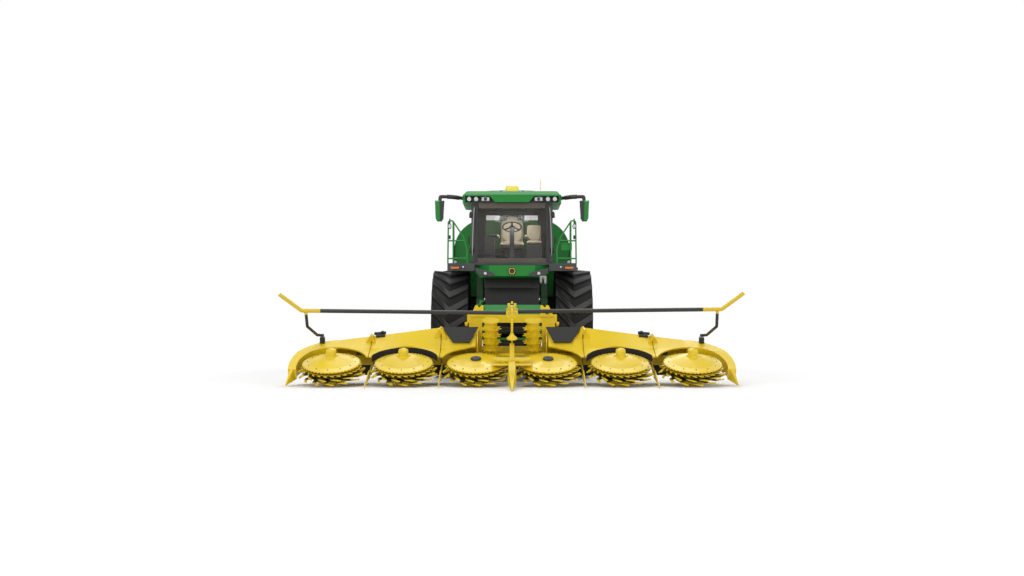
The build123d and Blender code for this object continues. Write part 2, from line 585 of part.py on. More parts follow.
with BuildPart() as hood_shell:
    hood_skin()
    door_cut(0, Mode.SUBTRACT)
    block(front(HOOD_END - 100), (0, (GRILLE_Z + GRILLE_TOP) / 2), (2 * GRILLE_X, GRILLE_TOP - GRILLE_Z), -200, mode=Mode.SUBTRACT)
    block(front(HOOD_Y - 10), (0, 2000), (900, 900), -100, mode=Mode.SUBTRACT)
    for y in (HOOD_Y + 260, HOOD_END - 300):
        for way in (1, -1):
            block(level(RAIL_Z + RAIL_H + GAP), (way * (RAIL_REAR_X + RAIL_W / 2 if y > RAIL_NECK_Y else RAIL_X + RAIL_W / 2), y),
                  (90, 100), HOOD_Z - RAIL_Z - RAIL_H + 20)
        block(level(HOOD_Z), (0, y), (2 * HOOD_X - 20, 100), 20)
    # Ears and pins that the side doors and the rear door hang on
    for way in (1, -1):
        for y in HOOD_HINGES:
            for end in (-60.5, 50.5):
                ear = ((-4, -9), (9, -9), (9, 9), (-30, 70), (-50, 70), (-34, 12), (-10, 6))
                plate(front(y + end), [(way * (HINGE_X + u), HINGE_Z + v) for u, v in ear], -10)
            disc(front(y - 60), (way * HINGE_X, HINGE_Z), HINGE_PIN_R, -120)
    for z in GRILLE_HINGES:
        for low in (z - 60.5, z + 50.5):
            block(level(low), (GRILLE_X + 30, HOOD_END + 12), (60, 36), 10)
        disc(level(z - 60), (GRILLE_X + 14, HOOD_END + 34), HINGE_PIN_R, 120)
        for low in (z - 60.5, z + 50.5):
            disc(level(low), (GRILLE_X + 14, HOOD_END + 34), 9, 10)
save(hood_shell, "hood_shell")

for side_name, s in SIDES:
    with BuildPart() as hood_door:
        hood_skin()
        door_cut(SLIT, Mode.INTERSECT)
        block(side(-s * HOOD_X), (0, 2000), (12000, 4000), HOOD_X - 1, both=True, mode=Mode.SUBTRACT)
        for y in HOOD_HINGES:
            plate(front(y - 50), [(s * (HINGE_X - 12), HINGE_Z), (s * (HINGE_X + 12), HINGE_Z), (s * (HOOD_X + 3), HINGE_Z - 90),
                                  (s * (HOOD_X - 6), HINGE_Z - 90), (s * (HOOD_X - 14), HINGE_Z - 30)], -100)
            disc(front(y - 50), (s * HINGE_X, HINGE_Z), 12, -100)
            disc(front(y - 50), (s * HINGE_X, HINGE_Z), HINGE_PIN_R + GAP, -100, mode=Mode.SUBTRACT)
    save(hood_door, f"hood_door_{side_name}")

with BuildPart() as rear_grille_door:
    block(front(HOOD_END + 20), (0, (GRILLE_Z + GRILLE_TOP) / 2), (2 * (GRILLE_X - SLIT), GRILLE_TOP - GRILLE_Z - 2 * SLIT), 60)
    for z in GRILLE_HINGES:
        block(level(z - 50), (GRILLE_X - 30, HOOD_END + 27), (88, 14), 100)
        disc(level(z - 50), (GRILLE_X + 14, HOOD_END + 34), 12, 100)
        disc(level(z - 50), (GRILLE_X + 14, HOOD_END + 34), HINGE_PIN_R + GAP, 100, mode=Mode.SUBTRACT)
    for k in range(9):
        z = GRILLE_Z + 100 + k * (GRILLE_TOP - GRILLE_Z - 200) / 8
        block(front(HOOD_END + 20.5), (0, z), (2 * GRILLE_X - 160, 60), 50, mode=Mode.SUBTRACT)
save(rear_grille_door, "rear_grille_door")

# Spout: turret on the tower, arched arm hinged behind it, and the end flap
with BuildPart() as spout_turret:
    disc(level(SPOUT_RING_Z), (0, SPOUT_Y), TURRET_R, 50)
    for way in (1, -1):
        plate(side(way * (SPOUT_HALF + 25)), [(SPOUT_Y - 200, SPOUT_RING_Z + 40), (SPOUT_Y + 250, SPOUT_RING_Z + 40),
                                              (SPOUT_PIVOT_Y + 80, SPOUT_PIVOT_Z + 60), (SPOUT_PIVOT_Y - 60, SPOUT_PIVOT_Z + 60)], -way * 15)
    plate(side(0), [(SPOUT_Y - 200, SPOUT_RING_Z + 40), (SPOUT_Y - 180, SPOUT_RING_Z + 40),
                    (SPOUT_PIVOT_Y - 140, SPOUT_PIVOT_Z - 30), (SPOUT_PIVOT_Y - 155, SPOUT_PIVOT_Z - 30)], SPOUT_HALF + 20, both=True)
    block(level(SPOUT_RING_Z), (0, SPOUT_Y), (280, 250), 50, mode=Mode.SUBTRACT)
save(spout_turret, "spout_turret")

with BuildPart() as spout_arm:
    def arm_outline(inset, start, end):
        """Side of the arm: an arched duct, deeper at the turret."""
        with BuildSketch(side(0)) as outline:
            with BuildLine():
                ThreePointArc((start, 3640 - inset), (2500, 3950 - inset), (end, FLAP_Z + 120 - inset))
                Line((end, FLAP_Z + 120 - inset), (end, FLAP_Z - 100 + inset))
                ThreePointArc((end, FLAP_Z - 100 + inset), (2500, 3680 + inset), (start, 3400 + inset))
                Line((start, 3400 + inset), (start, 3640 - inset))
            make_face()
        return outline.sketch

    extrude(arm_outline(0, SPOUT_PIVOT_Y - 60, FLAP_Y - 40), amount=SPOUT_HALF + 8, both=True)
    extrude(arm_outline(SPOUT_SKIN, SPOUT_PIVOT_Y - 60, FLAP_Y - 40), amount=SPOUT_HALF - 4, both=True, mode=Mode.SUBTRACT)
    block(level(3380), (0, SPOUT_PIVOT_Y), (2 * SPOUT_HALF - 8, 170), 60, mode=Mode.SUBTRACT)
    disc(side(0), (SPOUT_PIVOT_Y, SPOUT_PIVOT_Z), 26, SPOUT_HALF + 9.5, both=True)
    disc(side(0), (SPOUT_PIVOT_Y, SPOUT_PIVOT_Z), 40, SPOUT_HALF - 4, both=True, mode=Mode.SUBTRACT)
    for way in (1, -1):
        disc(side(way * (SPOUT_HALF + 4)), (FLAP_PIN_Y, FLAP_PIN_Z), FLAP_PIN_R, way * 18)
save(spout_arm, "spout_arm")

with BuildPart() as spout_flap:
    plate(side(0), [(FLAP_Y - 30, FLAP_Z + 132), (FLAP_Y + 60, FLAP_Z + 114), (SPOUT_REACH, FLAP_Z - 20),
                    (SPOUT_REACH - 10, FLAP_Z - 45), (FLAP_Y + 50, FLAP_Z + 94)], FLAP_CHEEK + 8, both=True)
    for way in (1, -1):
        plate(side(way * FLAP_CHEEK), [(FLAP_PIN_Y - 30, FLAP_PIN_Z - 20), (FLAP_PIN_Y - 25, FLAP_PIN_Z + 40),
                                       (FLAP_Y - 30, FLAP_Z + 132), (FLAP_Y + 60, FLAP_Z + 114),
                                       (SPOUT_REACH - 100, FLAP_Z), (FLAP_Y - 20, FLAP_Z + 20)], way * 8)
        disc(side(way * FLAP_CHEEK), (FLAP_PIN_Y, FLAP_PIN_Z), FLAP_PIN_R + GAP, way * 8, mode=Mode.SUBTRACT)
save(spout_flap, "spout_flap")

# Feeder housing: feed-roll box hinged on the chassis, which carries the header
with BuildPart() as feed_housing:
    plate(side(0), [(FEED_FRONT, 760), (FEED_FRONT, 1210), (FEED_FRONT + 150, 1400), (-700, 1330), (-640, 1240),
                    (-640, 840), (-900, 760)], FEED_X, both=True)
    plate(side(0), [(FEED_FRONT - 1, 800), (FEED_FRONT - 1, 1120), (-630, 1180), (-630, 880), (-900, 800)], FEED_X - 120, both=True, mode=Mode.SUBTRACT)
    for way in (1, -1):
        plate(side(way * FEED_X), [(-660, 1080), (-660, 1260), (FEED_PIVOT_Y, FEED_PIVOT_Z + 85), (FEED_PIVOT_Y + 85, FEED_PIVOT_Z),
                                   (FEED_PIVOT_Y, FEED_PIVOT_Z - 85)], -way * 30)
        disc(side(way * FEED_X), (FEED_PIVOT_Y, FEED_PIVOT_Z), FEED_PIN_R + GAP, -way * 30, mode=Mode.SUBTRACT)
    for way in (1, -1):
        plate(side(way * (LIFT_X + 35)), [(LIFT_EYE_Y - 60, 780), (LIFT_EYE_Y + 120, 780), (LIFT_EYE_Y + 35, LIFT_EYE_Z - 30),
                                          (LIFT_EYE_Y - 35, LIFT_EYE_Z - 30)], way * 15)
    # Crop flap that stands on the housing, behind the apron
    plate(side(0), [(-1022, 1350), (-1010, 1350), (-1010, 1735), (-1022, 1735)], 505, both=True)
save(feed_housing, "feed_housing")

# Header lift cylinders under the feeder: barrels hung on the axle, rods at the housing
LIFT_RUN = (Vector(0, LIFT_EYE_Y, LIFT_EYE_Z) - Vector(0, LIFT_Y, LIFT_Z)).normalized()


def along_lift(way, distance):
    """A point along a lift cylinder, counted from its pivot on the axle."""
    spot = Vector(way * LIFT_X, AXLE_Y + LIFT_Y, LIFT_Z) + LIFT_RUN * distance
    return (spot.X, spot.Y, spot.Z)


LIFT_LENGTH = (Vector(0, LIFT_EYE_Y, LIFT_EYE_Z) - Vector(0, LIFT_Y, LIFT_Z)).length
with BuildPart() as lift_barrels:
    for way in (1, -1):
        tube([along_lift(way, 20), along_lift(way, 620)], 44)
        disc(side(way * (LIFT_X - 60 + 15.5)), (LIFT_Y, LIFT_Z), 50, way * 88)
        tube([along_lift(way, 90), along_lift(way, 640)], LIFT_ROD_R + GAP, mode=Mode.SUBTRACT)
save(lift_barrels, "lift_barrels")
with BuildPart() as lift_rods:
    for way in (1, -1):
        tube([along_lift(way, 110), along_lift(way, LIFT_LENGTH)], LIFT_ROD_R)
        disc(side(way * (LIFT_X - 30)), (LIFT_EYE_Y, LIFT_EYE_Z), 40, way * 64.5)
save(lift_rods, "lift_rods")


def drum_x(k):
    """Across of the k-th rotor, counted outwards from the middle."""
    return (k + 0.5) * DRUM_PITCH


def upright(v, w):
    """A point of the header's own side view, counted from the front axle and the floor."""
    return (DRUM_Y + v * cos(LEAN) - w * sin(LEAN), DRUM_Z + v * sin(LEAN) + w * cos(LEAN))


def skid(x, wide):
    """A runner under a pan: flat on the floor, turned up to the pan at both ends."""
    inside = PAN_LOW + 10
    plate(side(x), [upright(-290, inside), upright(-290, PAN_LOW), (DRUM_Y - 190, 0), (DRUM_Y + 90, 0),
                    (DRUM_Y + 300, 120), upright(300, inside)], wide / 2, both=True)


def pan(x):
    """Gearbox pan under a rotor, its arm back to the beam and its pedestal."""
    disc(head_level(PAN_LOW, x), (0, 0), 300, PAN_TOP - PAN_LOW)
    block(head_level(PAN_LOW, x), (0, BEAM_FRONT / 2), (200, BEAM_FRONT + 20), PAN_TOP - PAN_LOW)
    disc(head_level(PAN_LOW, x), (0, 0), 120, -PAN_LOW - 20.5)
    skid(x, 240)


def divider(x, tip_v, tip_w, half, root_v, low, high):
    """A pointed divider: a wedge from a root section to its tip."""
    with BuildSketch(head_front(root_v)) as root:
        with BuildLine():
            Polyline((x - half, low), (x + half, low), (x + 0.4 * half, high), (x - 0.4 * half, high), close=True)
        make_face()
    with BuildSketch(head_front(tip_v)) as tip:
        with BuildLine():
            Polyline((x - 8, tip_w), (x + 8, tip_w), (x + 5, tip_w + 14), (x - 5, tip_w + 14), close=True)
        make_face()
    loft([root.sketch, tip.sketch], ruled=True)


def rear_wall(x0, x1, top0, top1):
    """Deck and rear wall of a header section, between two places across."""
    slices = []
    for x, top in ((x0, top0), (x1, top1)):
        with BuildSketch(head_side(x)) as cut:
            with BuildLine():
                Polyline((180, 250), (560, 262), (DECK_REAR - 40, top), (DECK_REAR, top - 30), (DECK_REAR, PAN_LOW),
                         (DECK_REAR - 25, PAN_LOW), (DECK_REAR - 25, top - 50), (DECK_REAR - 50, top - 30),
                         (565, 238), (180, 226), close=True)
            make_face()
        slices.append(cut.sketch)
    loft(slices, ruled=True)


def beam(x0, x1):
    """Header cross beam between two places across."""
    block(head_side(x0), ((BEAM_FRONT + BEAM_REAR) / 2, (PAN_LOW + 100) / 2), (BEAM_REAR - BEAM_FRONT, 100 - PAN_LOW), x1 - x0)


def wall_height(x):
    """Top of the header's rear wall at a place across: it rises towards the middle."""
    return 560 - 0.13 * (abs(x) - FOLD_X)


def fold_ears(way, pivot_x, pivot_w, radius):
    """Two ears and the pin that an outer section folds on."""
    for v in EAR_PLACES:
        plate(head_front(v), [(way * (pivot_x - 180), 60), (way * (pivot_x - 12), 60), (way * (pivot_x - 12), pivot_w - 80),
                              (way * (pivot_x + radius), pivot_w), (way * pivot_x, pivot_w + radius),
                              (way * (pivot_x - radius), pivot_w), (way * (pivot_x - 90), pivot_w - 140)], -EAR_T)
    disc(head_front(EAR_PLACES[0]), (way * pivot_x, pivot_w), EAR_PIN_R, EAR_PLACES[0] - EAR_PLACES[1] - EAR_T)


def fold_tongue(way, pivot_x, pivot_w, radius):
    """The tongue of a folding section, bored for the pin between the two ears."""
    front_face = EAR_PLACES[0] + EAR_T + 1
    thick = EAR_PLACES[1] - 1 - front_face
    plate(head_front(front_face), [(way * (pivot_x + 50), 60), (way * (pivot_x + 170), 60), (way * (pivot_x + 140), pivot_w - 190),
                                   (way * (pivot_x + radius), pivot_w), (way * pivot_x, pivot_w + radius),
                                   (way * (pivot_x - radius), pivot_w), (way * (pivot_x + 12), pivot_w - 110)], -thick)
    disc(head_front(front_face), (way * pivot_x, pivot_w), EAR_PIN_R + GAP, -thick, mode=Mode.SUBTRACT)


# Header centre: beam, two pans, side walls, and the mounting frame hooked to the feeder housing
ADAPTOR_Y = FEED_FRONT - GAP
with BuildPart() as header_centre:
    block(front(ADAPTOR_Y), (0, 1150), (1620, 150), 90)
    block(front(ADAPTOR_Y), (0, 590), (1560, 120), 90)
    for way in (1, -1):
        block(front(ADAPTOR_Y), (way * 660, 850), (240, 620), 90)
        plate(front(ADAPTOR_Y), [(way * 540, 1220), (way * 740, 1220), (way * 660, 1390), (way * 620, 1390)], 90)
        disc(side(way * 800), (ADAPTOR_Y - 60, 1050), 40, way * 50)
    beam(-FOLD_X + SLIT, FOLD_X - SLIT)
    for way in (1, -1):
        pan(way * drum_x(0))
        for x in (780, 1180):
            block(head_side(way * x), ((BEAM_REAR + DECK_REAR) / 2, 10), (DECK_REAR - BEAM_REAR + 20, 180), way * 60)
        rear_wall(way * 640, way * (FOLD_X - SLIT), 470, 545)
        plate(side(way * 600), [upright(300, 40), upright(640, PAN_TOP), (ADAPTOR_Y - 20, 560), (ADAPTOR_Y - 20, 950),
                                upright(900, 470), upright(640, 380)], way * 16)
        block(head_level(-60, way * 1225), (0, 320), (18, 640), 80)
        divider(way * 1225, -722, 30, 24, 0, -60, 60)
        disc(head_level(PAN_LOW + 60, way * STACK_X, STACK_V), (0, 0), 110, STACK_LOW - 0.5 - PAN_LOW - 60)
    for k in (0, 1):
        for way in (1, -1):
            disc(head_level(PAN_TOP, way * drum_x(k)), (0, 0), GUARD_R, 700, mode=Mode.SUBTRACT)
    for way in (1, -1):
        disc(head_level(PAN_LOW, way * drum_x(0)), (0, 0), 120, -PAN_LOW - 20.5)
        disc(head_level(STACK_LOW - 0.4, way * STACK_X, STACK_V), (0, 0), 200, 700, mode=Mode.SUBTRACT)
    for way in (1, -1):
        fold_ears(way, FOLD_X, FOLD_W, 35)
save(header_centre, "header_centre")

# Centre nose: long divider ahead of the middle, with its cross plate over the rotors
with BuildPart() as centre_nose:
    with BuildSketch(front(-2950)) as root:
        with BuildLine():
            Polyline((-70, 330), (70, 330), (60, 470), (-60, 470), close=True)
        make_face()
    with BuildSketch(front(-3500)) as middle:
        with BuildLine():
            Polyline((-75, 120), (75, 120), (50, 250), (-50, 250), close=True)
        make_face()
    with BuildSketch(front(-NOSE_REACH)) as tip:
        with BuildLine():
            Polyline((-10, 12), (10, 12), (6, 30), (-6, 30), close=True)
        make_face()
    loft([root.sketch, middle.sketch, tip.sketch], ruled=True)
    plate(head_level(300), [(-330, -60), (330, -60), (330, -150), (250, -210), (-250, -210), (-330, -150)], 22)
    block(head_side(0), (280, 300), (740, 40), 40, both=True)
    # Post from the beam up to the pivots of the crop bars
    plate(head_side(0), [(BEAM_FRONT + 10, 100 + GAP), (BEAM_REAR - 10, 100 + GAP), (700, 330), (BAR_V + 150, BAR_W + 40),
                         (BAR_V - 60, BAR_W + 50), (BAR_V - 60, BAR_W - 50), (BAR_V + 60, BAR_W - 90), (560, 330)], 12, both=True)
    for v, thick in ((BAR_V - BAR_R - 11, 10), (BAR_V + BAR_R + 1, 6), (BAR_V + BAR_PITCH + BAR_R + 1, 10)):
        block(head_front(v), (0, BAR_W), (2 * BAR_X + 80, 90), -thick)
    for way, v in ((-1, BAR_V), (1, BAR_V + BAR_PITCH)):
        disc(head_front(v - BAR_R - 5), (way * BAR_X, BAR_W), BAR_PIN_R, -2 * BAR_R - 10)
save(centre_nose, "centre_nose")


# Rotor drums: finger rings, saw ring and dome on a turning core
def finger_ring(x, w, count, root, tip, swept, turned):
    """A flat ring with swept fingers: curved root, leading edge and hooked tip."""
    pitch = 2 * pi / count
    bow = 0.55 * tip + 0.45 * root
    corners = []
    for k in range(count):
        for radius, step in ((root, 0.0), (bow, 0.3 * swept), (tip, swept), (tip - 0.1 * (tip - root), swept + 0.16),
                             (bow - 0.1 * (tip - root), 0.3 * swept + 0.28), (root, 0.5)):
            turn = (k + turned + step) * pitch
            corners.append((radius * cos(turn), radius * sin(turn)))
    plate(head_level(w, x), corners, RING_T)


drum_number = 0
for k in (-3, -2, -1, 0, 1, 2):
    drum_number += 1
    x = drum_x(k)
    with BuildPart() as drum:
        disc(head_level(-20, x), (0, 0), 240, 225)
        finger_ring(x, 0, 14, 400, FINGER_R, 0.8, 0)
        finger_ring(x, 66, 14, 400, FINGER_R - 8, 0.8, 0.5)
        finger_ring(x, 130, 28, 455, FINGER_R - 62, 0.6, 0.25)
        finger_ring(x, 188, 48, SAW_R - 22, SAW_R, 0.5, 0)
        with BuildSketch(Plane(origin=HEADER.from_local_coords((x, 0, 0)), x_dir=(1, 0, 0), z_dir=-HEADER.y_dir)) as dome:
            with BuildLine():
                Polyline((0, 190), (DOME_R, 190), (DOME_R, 204), (0.75 * DOME_R, 236), (150, 262), (0, 262), close=True)
            make_face()
        revolve(dome.sketch, axis=Axis(HEADER.from_local_coords((x, 0, 0)), HEADER.z_dir))
        if k in (-1, 0):
            disc(head_level(262, x), (0, 0), 60, 24)
        else:
            with BuildSketch(head_level(255, x)) as cap:
                RegularPolygon(150, 6)
            extrude(cap.sketch, amount=90, taper=20)
    save(drum, f"rotor_drum_{drum_number}")

# Feed stacks that pass the crop back to the feed rolls
for side_name, s in SIDES:
    with BuildPart() as stack:
        disc(head_level(STACK_LOW, s * STACK_X, STACK_V), (0, 0), 110, STACK_TOP - STACK_LOW)
        for k in range(4):
            pitch = 2 * pi / 10
            corners = []
            for tooth in range(10):
                for radius, step in ((145, 0.0), (185, 0.3), (145, 0.5)):
                    turn = (tooth + step + 0.5 * (k % 2)) * pitch
                    corners.append((radius * cos(turn), radius * sin(turn)))
            plate(head_level(STACK_LOW + 30 + k * 125, s * STACK_X, STACK_V), corners, 14)
        disc(head_level(STACK_TOP, s * STACK_X, STACK_V), (0, 0), 150, 22)
    save(stack, f"feed_stack_{side_name}")

# Feed rolls in the mouth of the feeder housing
for name, y, z, radius in (("feed_roll", FEED_FRONT + 170, 980, 110),):
    with BuildPart() as roll:
        disc(side(0), (y, z), 0.7 * radius, FEED_X - 120 - 0.5, both=True)
        for k in range(8):
            turn = radians(45 * k)
            with BuildSketch(side(0)) as bar_outline:
                with Locations(Location((y + 0.8 * radius * cos(turn), z + 0.8 * radius * sin(turn)), degrees(turn))):
                    Rectangle(0.4 * radius, 14)
            extrude(bar_outline.sketch, amount=FEED_X - 140, both=True)
    save(roll, name)

# Wings: inner one with a rotor and the outer one with the last rotor and the end divider
for side_name, s in SIDES:
    with BuildPart() as inner_wing:
        inner, outer = FOLD_X + SLIT, TIP_FOLD_X - SLIT
        beam(s * inner, s * outer)
        pan(s * drum_x(1))
        rear_wall(s * inner, s * outer, 545, wall_height(outer) - 20)
        block(head_side(s * inner), ((BEAM_REAR + DECK_REAR) / 2, 10), (DECK_REAR - BEAM_REAR + 20, 180), s * 60)
        block(head_side(s * (outer - 60)), ((BEAM_REAR + DECK_REAR) / 2, 10), (DECK_REAR - BEAM_REAR + 20, 180), s * 60)
        block(head_level(-60, s * 2450), (0, 320), (18, 640), 80)
        divider(s * 2450, -722, 30, 24, 0, -60, 60)
        for x in (drum_x(1), drum_x(2), drum_x(0)):
            disc(head_level(PAN_TOP, s * x), (0, 0), GUARD_R, 700, mode=Mode.SUBTRACT)
        disc(head_level(PAN_LOW, s * drum_x(1)), (0, 0), 120, -PAN_LOW - 20.5)
        fold_tongue(s, FOLD_X, FOLD_W, 35)
        fold_ears(s, TIP_FOLD_X, TIP_FOLD_W, 30)
    save(inner_wing, f"inner_wing_{side_name}")

    with BuildPart() as outer_wing:
        inner, axis_x = TIP_FOLD_X + SLIT, drum_x(2)
        beam(s * inner, s * (axis_x + 60))
        pan(s * axis_x)
        rear_wall(s * inner, s * (axis_x + 40), wall_height(inner) - 20, 300)
        block(head_side(s * inner), ((BEAM_REAR + DECK_REAR) / 2, 10), (DECK_REAR - BEAM_REAR + 20, 180), s * 60)
        with BuildSketch(head_level(-60, s * axis_x)) as guard:
            with BuildLine():
                Line((0, 600), (0, DECK_REAR))
                ThreePointArc((0, DECK_REAR), (s * 560, 560), (s * 727, -120))
                Line((s * 727, -120), (s * 590, -120))
                ThreePointArc((s * 590, -120), (s * 424, 424), (0, 600))
            make_face()
        extrude(guard.sketch, amount=360)
        plate(head_side(s * (axis_x - 40)), [(-200, 110), (420, 250), (DECK_REAR + 20, 300), (DECK_REAR + 20, 400), (-200, 400)],
              s * 900, mode=Mode.SUBTRACT)
        slices = []
        for v, half, low, high in ((-110, 62, -60, 130), (-426, 9, -52, -34)):
            middle = s * (axis_x + 660) if v > -400 else s * (axis_x + 718)
            with BuildSketch(head_front(v)) as cut:
                with BuildLine():
                    Polyline((middle - half, low), (middle + half, low), (middle + 0.5 * half, high),
                             (middle - 0.5 * half, high), close=True)
                make_face()
            slices.append(cut.sketch)
        loft(slices, ruled=True)
        for x in (drum_x(2), drum_x(1)):
            disc(head_level(PAN_TOP, s * x), (0, 0), GUARD_R, 700, mode=Mode.SUBTRACT)
        disc(head_level(PAN_LOW, s * axis_x), (0, 0), 120, -PAN_LOW - 20.5)
        fold_tongue(s, TIP_FOLD_X, TIP_FOLD_W, 30)
    save(outer_wing, f"outer_wing_{side_name}")

# Halves of the crop bar, pivoted at the centre post, each with its curved foot over the outer wing
def bar_point(x, v, w):
    """A point of the header's own frame, in the part's own."""
    return HEADER.from_local_coords((x, v, w))


for side_name, v in (("left", BAR_V + BAR_PITCH), ("right", BAR_V)):
    with BuildPart() as bar_half:
        tube([bar_point(-BAR_X, v, BAR_W), bar_point(-3560, v, BAR_W + 40), bar_point(-3920, v, BAR_W + 330)], BAR_R, 60)
        disc(head_front(v - BAR_R), (-BAR_X, BAR_W), BAR_R + 4, -2 * BAR_R)
        tube([bar_point(-3490, v + 4, BAR_W + 20), bar_point(-3500, 190, 790), bar_point(-3420, 640, 480),
              bar_point(-3350, 800, 420)], 26, 60)
        disc(head_front(v - BAR_R), (-BAR_X, BAR_W), BAR_PIN_R + GAP, -2 * BAR_R, mode=Mode.SUBTRACT)
    with BuildPart() as push_bar:
        add(mirror(bar_half.part, Plane.YZ) if side_name == "left" else bar_half.part)
    save(push_bar, f"push_bar_{side_name}")
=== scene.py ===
# %% Forage harvester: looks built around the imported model
# %% [markdown]
# The frame holds every rigid piece in its place. This file gives those pieces their
# finishes and adds what the CAD model leaves plain: lamps, mirror faces, trim, seat pads,
# rubber facings, louvres and bolts. Lengths are metres, -Y is forwards, +X the machine's
# own left.

import json
from math import cos, pi, radians, sin

import bmesh
import bpy
from mathutils import Matrix, Vector


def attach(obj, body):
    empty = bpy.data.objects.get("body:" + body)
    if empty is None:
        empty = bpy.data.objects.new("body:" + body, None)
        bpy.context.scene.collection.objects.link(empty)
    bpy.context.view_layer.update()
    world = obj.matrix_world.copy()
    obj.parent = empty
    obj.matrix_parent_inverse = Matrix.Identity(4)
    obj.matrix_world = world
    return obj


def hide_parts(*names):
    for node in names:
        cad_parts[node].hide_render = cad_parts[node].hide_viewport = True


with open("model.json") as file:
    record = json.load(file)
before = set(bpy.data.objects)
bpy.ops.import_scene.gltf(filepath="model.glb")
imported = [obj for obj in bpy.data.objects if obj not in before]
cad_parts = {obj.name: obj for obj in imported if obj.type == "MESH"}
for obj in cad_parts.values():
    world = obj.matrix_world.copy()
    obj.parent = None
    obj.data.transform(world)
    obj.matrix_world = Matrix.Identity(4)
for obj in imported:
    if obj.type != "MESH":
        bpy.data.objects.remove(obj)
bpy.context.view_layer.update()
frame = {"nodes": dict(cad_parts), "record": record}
nodes = frame["nodes"]

# The axles, and the header's rotors: the lean of their plane, where it crosses the
# machine's middle, and the pitch from one axis to the next.
FRONT_AXLE_Y, FRONT_AXLE_Z = -0.5, 1.05
REAR_AXLE_Y, REAR_AXLE_Z = 2.7, 0.745
LEAN = radians(18)
ROTOR_Y, ROTOR_Z = -3.25, 0.209
ROTOR_PITCH = 1.235
SIDES = (("left", 1), ("right", -1))


def head(x, v, w):
    """A point of the header's tilted frame: across, rearwards and up from the rotors' plane."""
    return Vector((x, ROTOR_Y + v * cos(LEAN) - w * sin(LEAN), ROTOR_Z + v * sin(LEAN) + w * cos(LEAN)))


HEADER = Matrix.Translation(head(0, 0, 0)) @ Matrix.Rotation(LEAN, 4, "X")
TILT = HEADER.to_3x3().to_4x4()

# %% Camera
# %% [markdown]
# The photograph was taken square to the machine's nose from about 22 m, at chest height,
# with a long lens.

CAMERA_RANGE, CAMERA_HEIGHT = 22, 1.25

camera_data = bpy.data.cameras.new("camera")
camera_data.lens = 39.45
camera_data.sensor_width = 36
camera_data.shift_y = 0.0244
camera_data.clip_end = 200
camera = bpy.data.objects.new("camera", camera_data)
camera.location = (0, FRONT_AXLE_Y - CAMERA_RANGE, CAMERA_HEIGHT)
camera.rotation_euler = (pi / 2, 0, 0)
bpy.context.scene.collection.objects.link(camera)
bpy.context.scene.camera = camera

# %% Light
# %% [markdown]
# Plain soft studio light: a wide key from the camera's left, a fill from its right, a large
# panel overhead, a rim light from behind and a faint lamp in the cab.


def area_light(name, place, target, size, power):
    """A square soft light that looks at target."""
    data = bpy.data.lights.new(name, "AREA")
    data.shape = "SQUARE"
    data.size = size
    data.energy = power
    light = bpy.data.objects.new(name, data)
    light.location = place
    light.rotation_euler = (Vector(target) - Vector(place)).to_track_quat("-Z", "Y").to_euler()
    bpy.context.scene.collection.objects.link(light)


LIGHTS = (
    # name, place, aimed at, size, power
    ("key", (-9, -16, 12), (0, -1, 1), 12, 1550),
    ("fill", (11, -14, 7), (0, -1, 1), 12, 800),
    ("top", (0, 1, 14), (0, 0, 0), 12, 1100),
    ("rim", (3, 15, 10), (0, 2, 1), 12, 800),
    ("cab", (0, -1.1, 3.2), (0, -1.0, 2.4), 0.7, 16),
)
for light in LIGHTS:
    area_light(*light)
bpy.context.scene.view_settings.view_transform = "Standard"

# %% Node nets
# %% [markdown]
# Every material and every pattern is a node tree made through one method, and a node's
# output can be added, multiplied and mixed in plain sums.


class Sock:
    """A node's output, so that sums of sockets read as sums."""

    def __init__(self, net, out):
        self.net, self.out = net, out

    def sum(self, how, other, swap=False):
        pair = (other, self) if swap else (self, other)
        return self.net.add("ShaderNodeMath", pair, operation=how)

    def __add__(self, other):
        return self.sum("ADD", other)

    def __radd__(self, other):
        return self.sum("ADD", other, True)

    def __sub__(self, other):
        return self.sum("SUBTRACT", other)

    def __rsub__(self, other):
        return self.sum("SUBTRACT", other, True)

    def __mul__(self, other):
        return self.sum("MULTIPLY", other)

    def __abs__(self):
        return self.net.add("ShaderNodeMath", (self,), operation="ABSOLUTE")

    def over(self, edge):
        """1 where this is greater than edge, else 0."""
        return self.sum("GREATER_THAN", edge)

    def at_most_one(self):
        return self.sum("MINIMUM", 1.0)

    def ramp(self, low, high):
        """0 at low, 1 at high, smooth between and flat beyond."""
        return self.net.add("ShaderNodeMapRange", {0: self, 1: low, 2: high}, interpolation_type="SMOOTHSTEP")


class Net:
    """A node tree and the one way its nodes are made."""

    def __init__(self, tree):
        self.tree = tree

    def put(self, socket, value):
        if isinstance(value, Sock):
            self.tree.links.new(value.out, socket)
        else:
            socket.default_value = value

    def add(self, kind, ins=(), out=0, **settings):
        """A node of one kind; ins go to its sockets by place or by name."""
        node = self.tree.nodes.new(kind)
        for key, value in settings.items():
            setattr(node, key, value)
        for key, value in ins.items() if isinstance(ins, dict) else enumerate(ins):
            self.put(node.inputs[key], value)
        return Sock(self, node.outputs[out])

    def mix(self, amount, a, b):
        """Colour a where amount is 0 and b where it is 1."""
        return self.add("ShaderNodeMix", {0: amount, 6: a, 7: b}, 2, data_type="RGBA")

    def seen_directly(self):
        """1 for rays of the camera, of mirrors and of clear glass, 0 for light on its way."""
        path = self.tree.nodes.new("ShaderNodeLightPath")
        rays = ("Is Camera Ray", "Is Glossy Ray", "Is Transmission Ray")
        seen, mirrored, through = (Sock(self, path.outputs[key]) for key in rays)
        return (seen + mirrored + through).at_most_one()


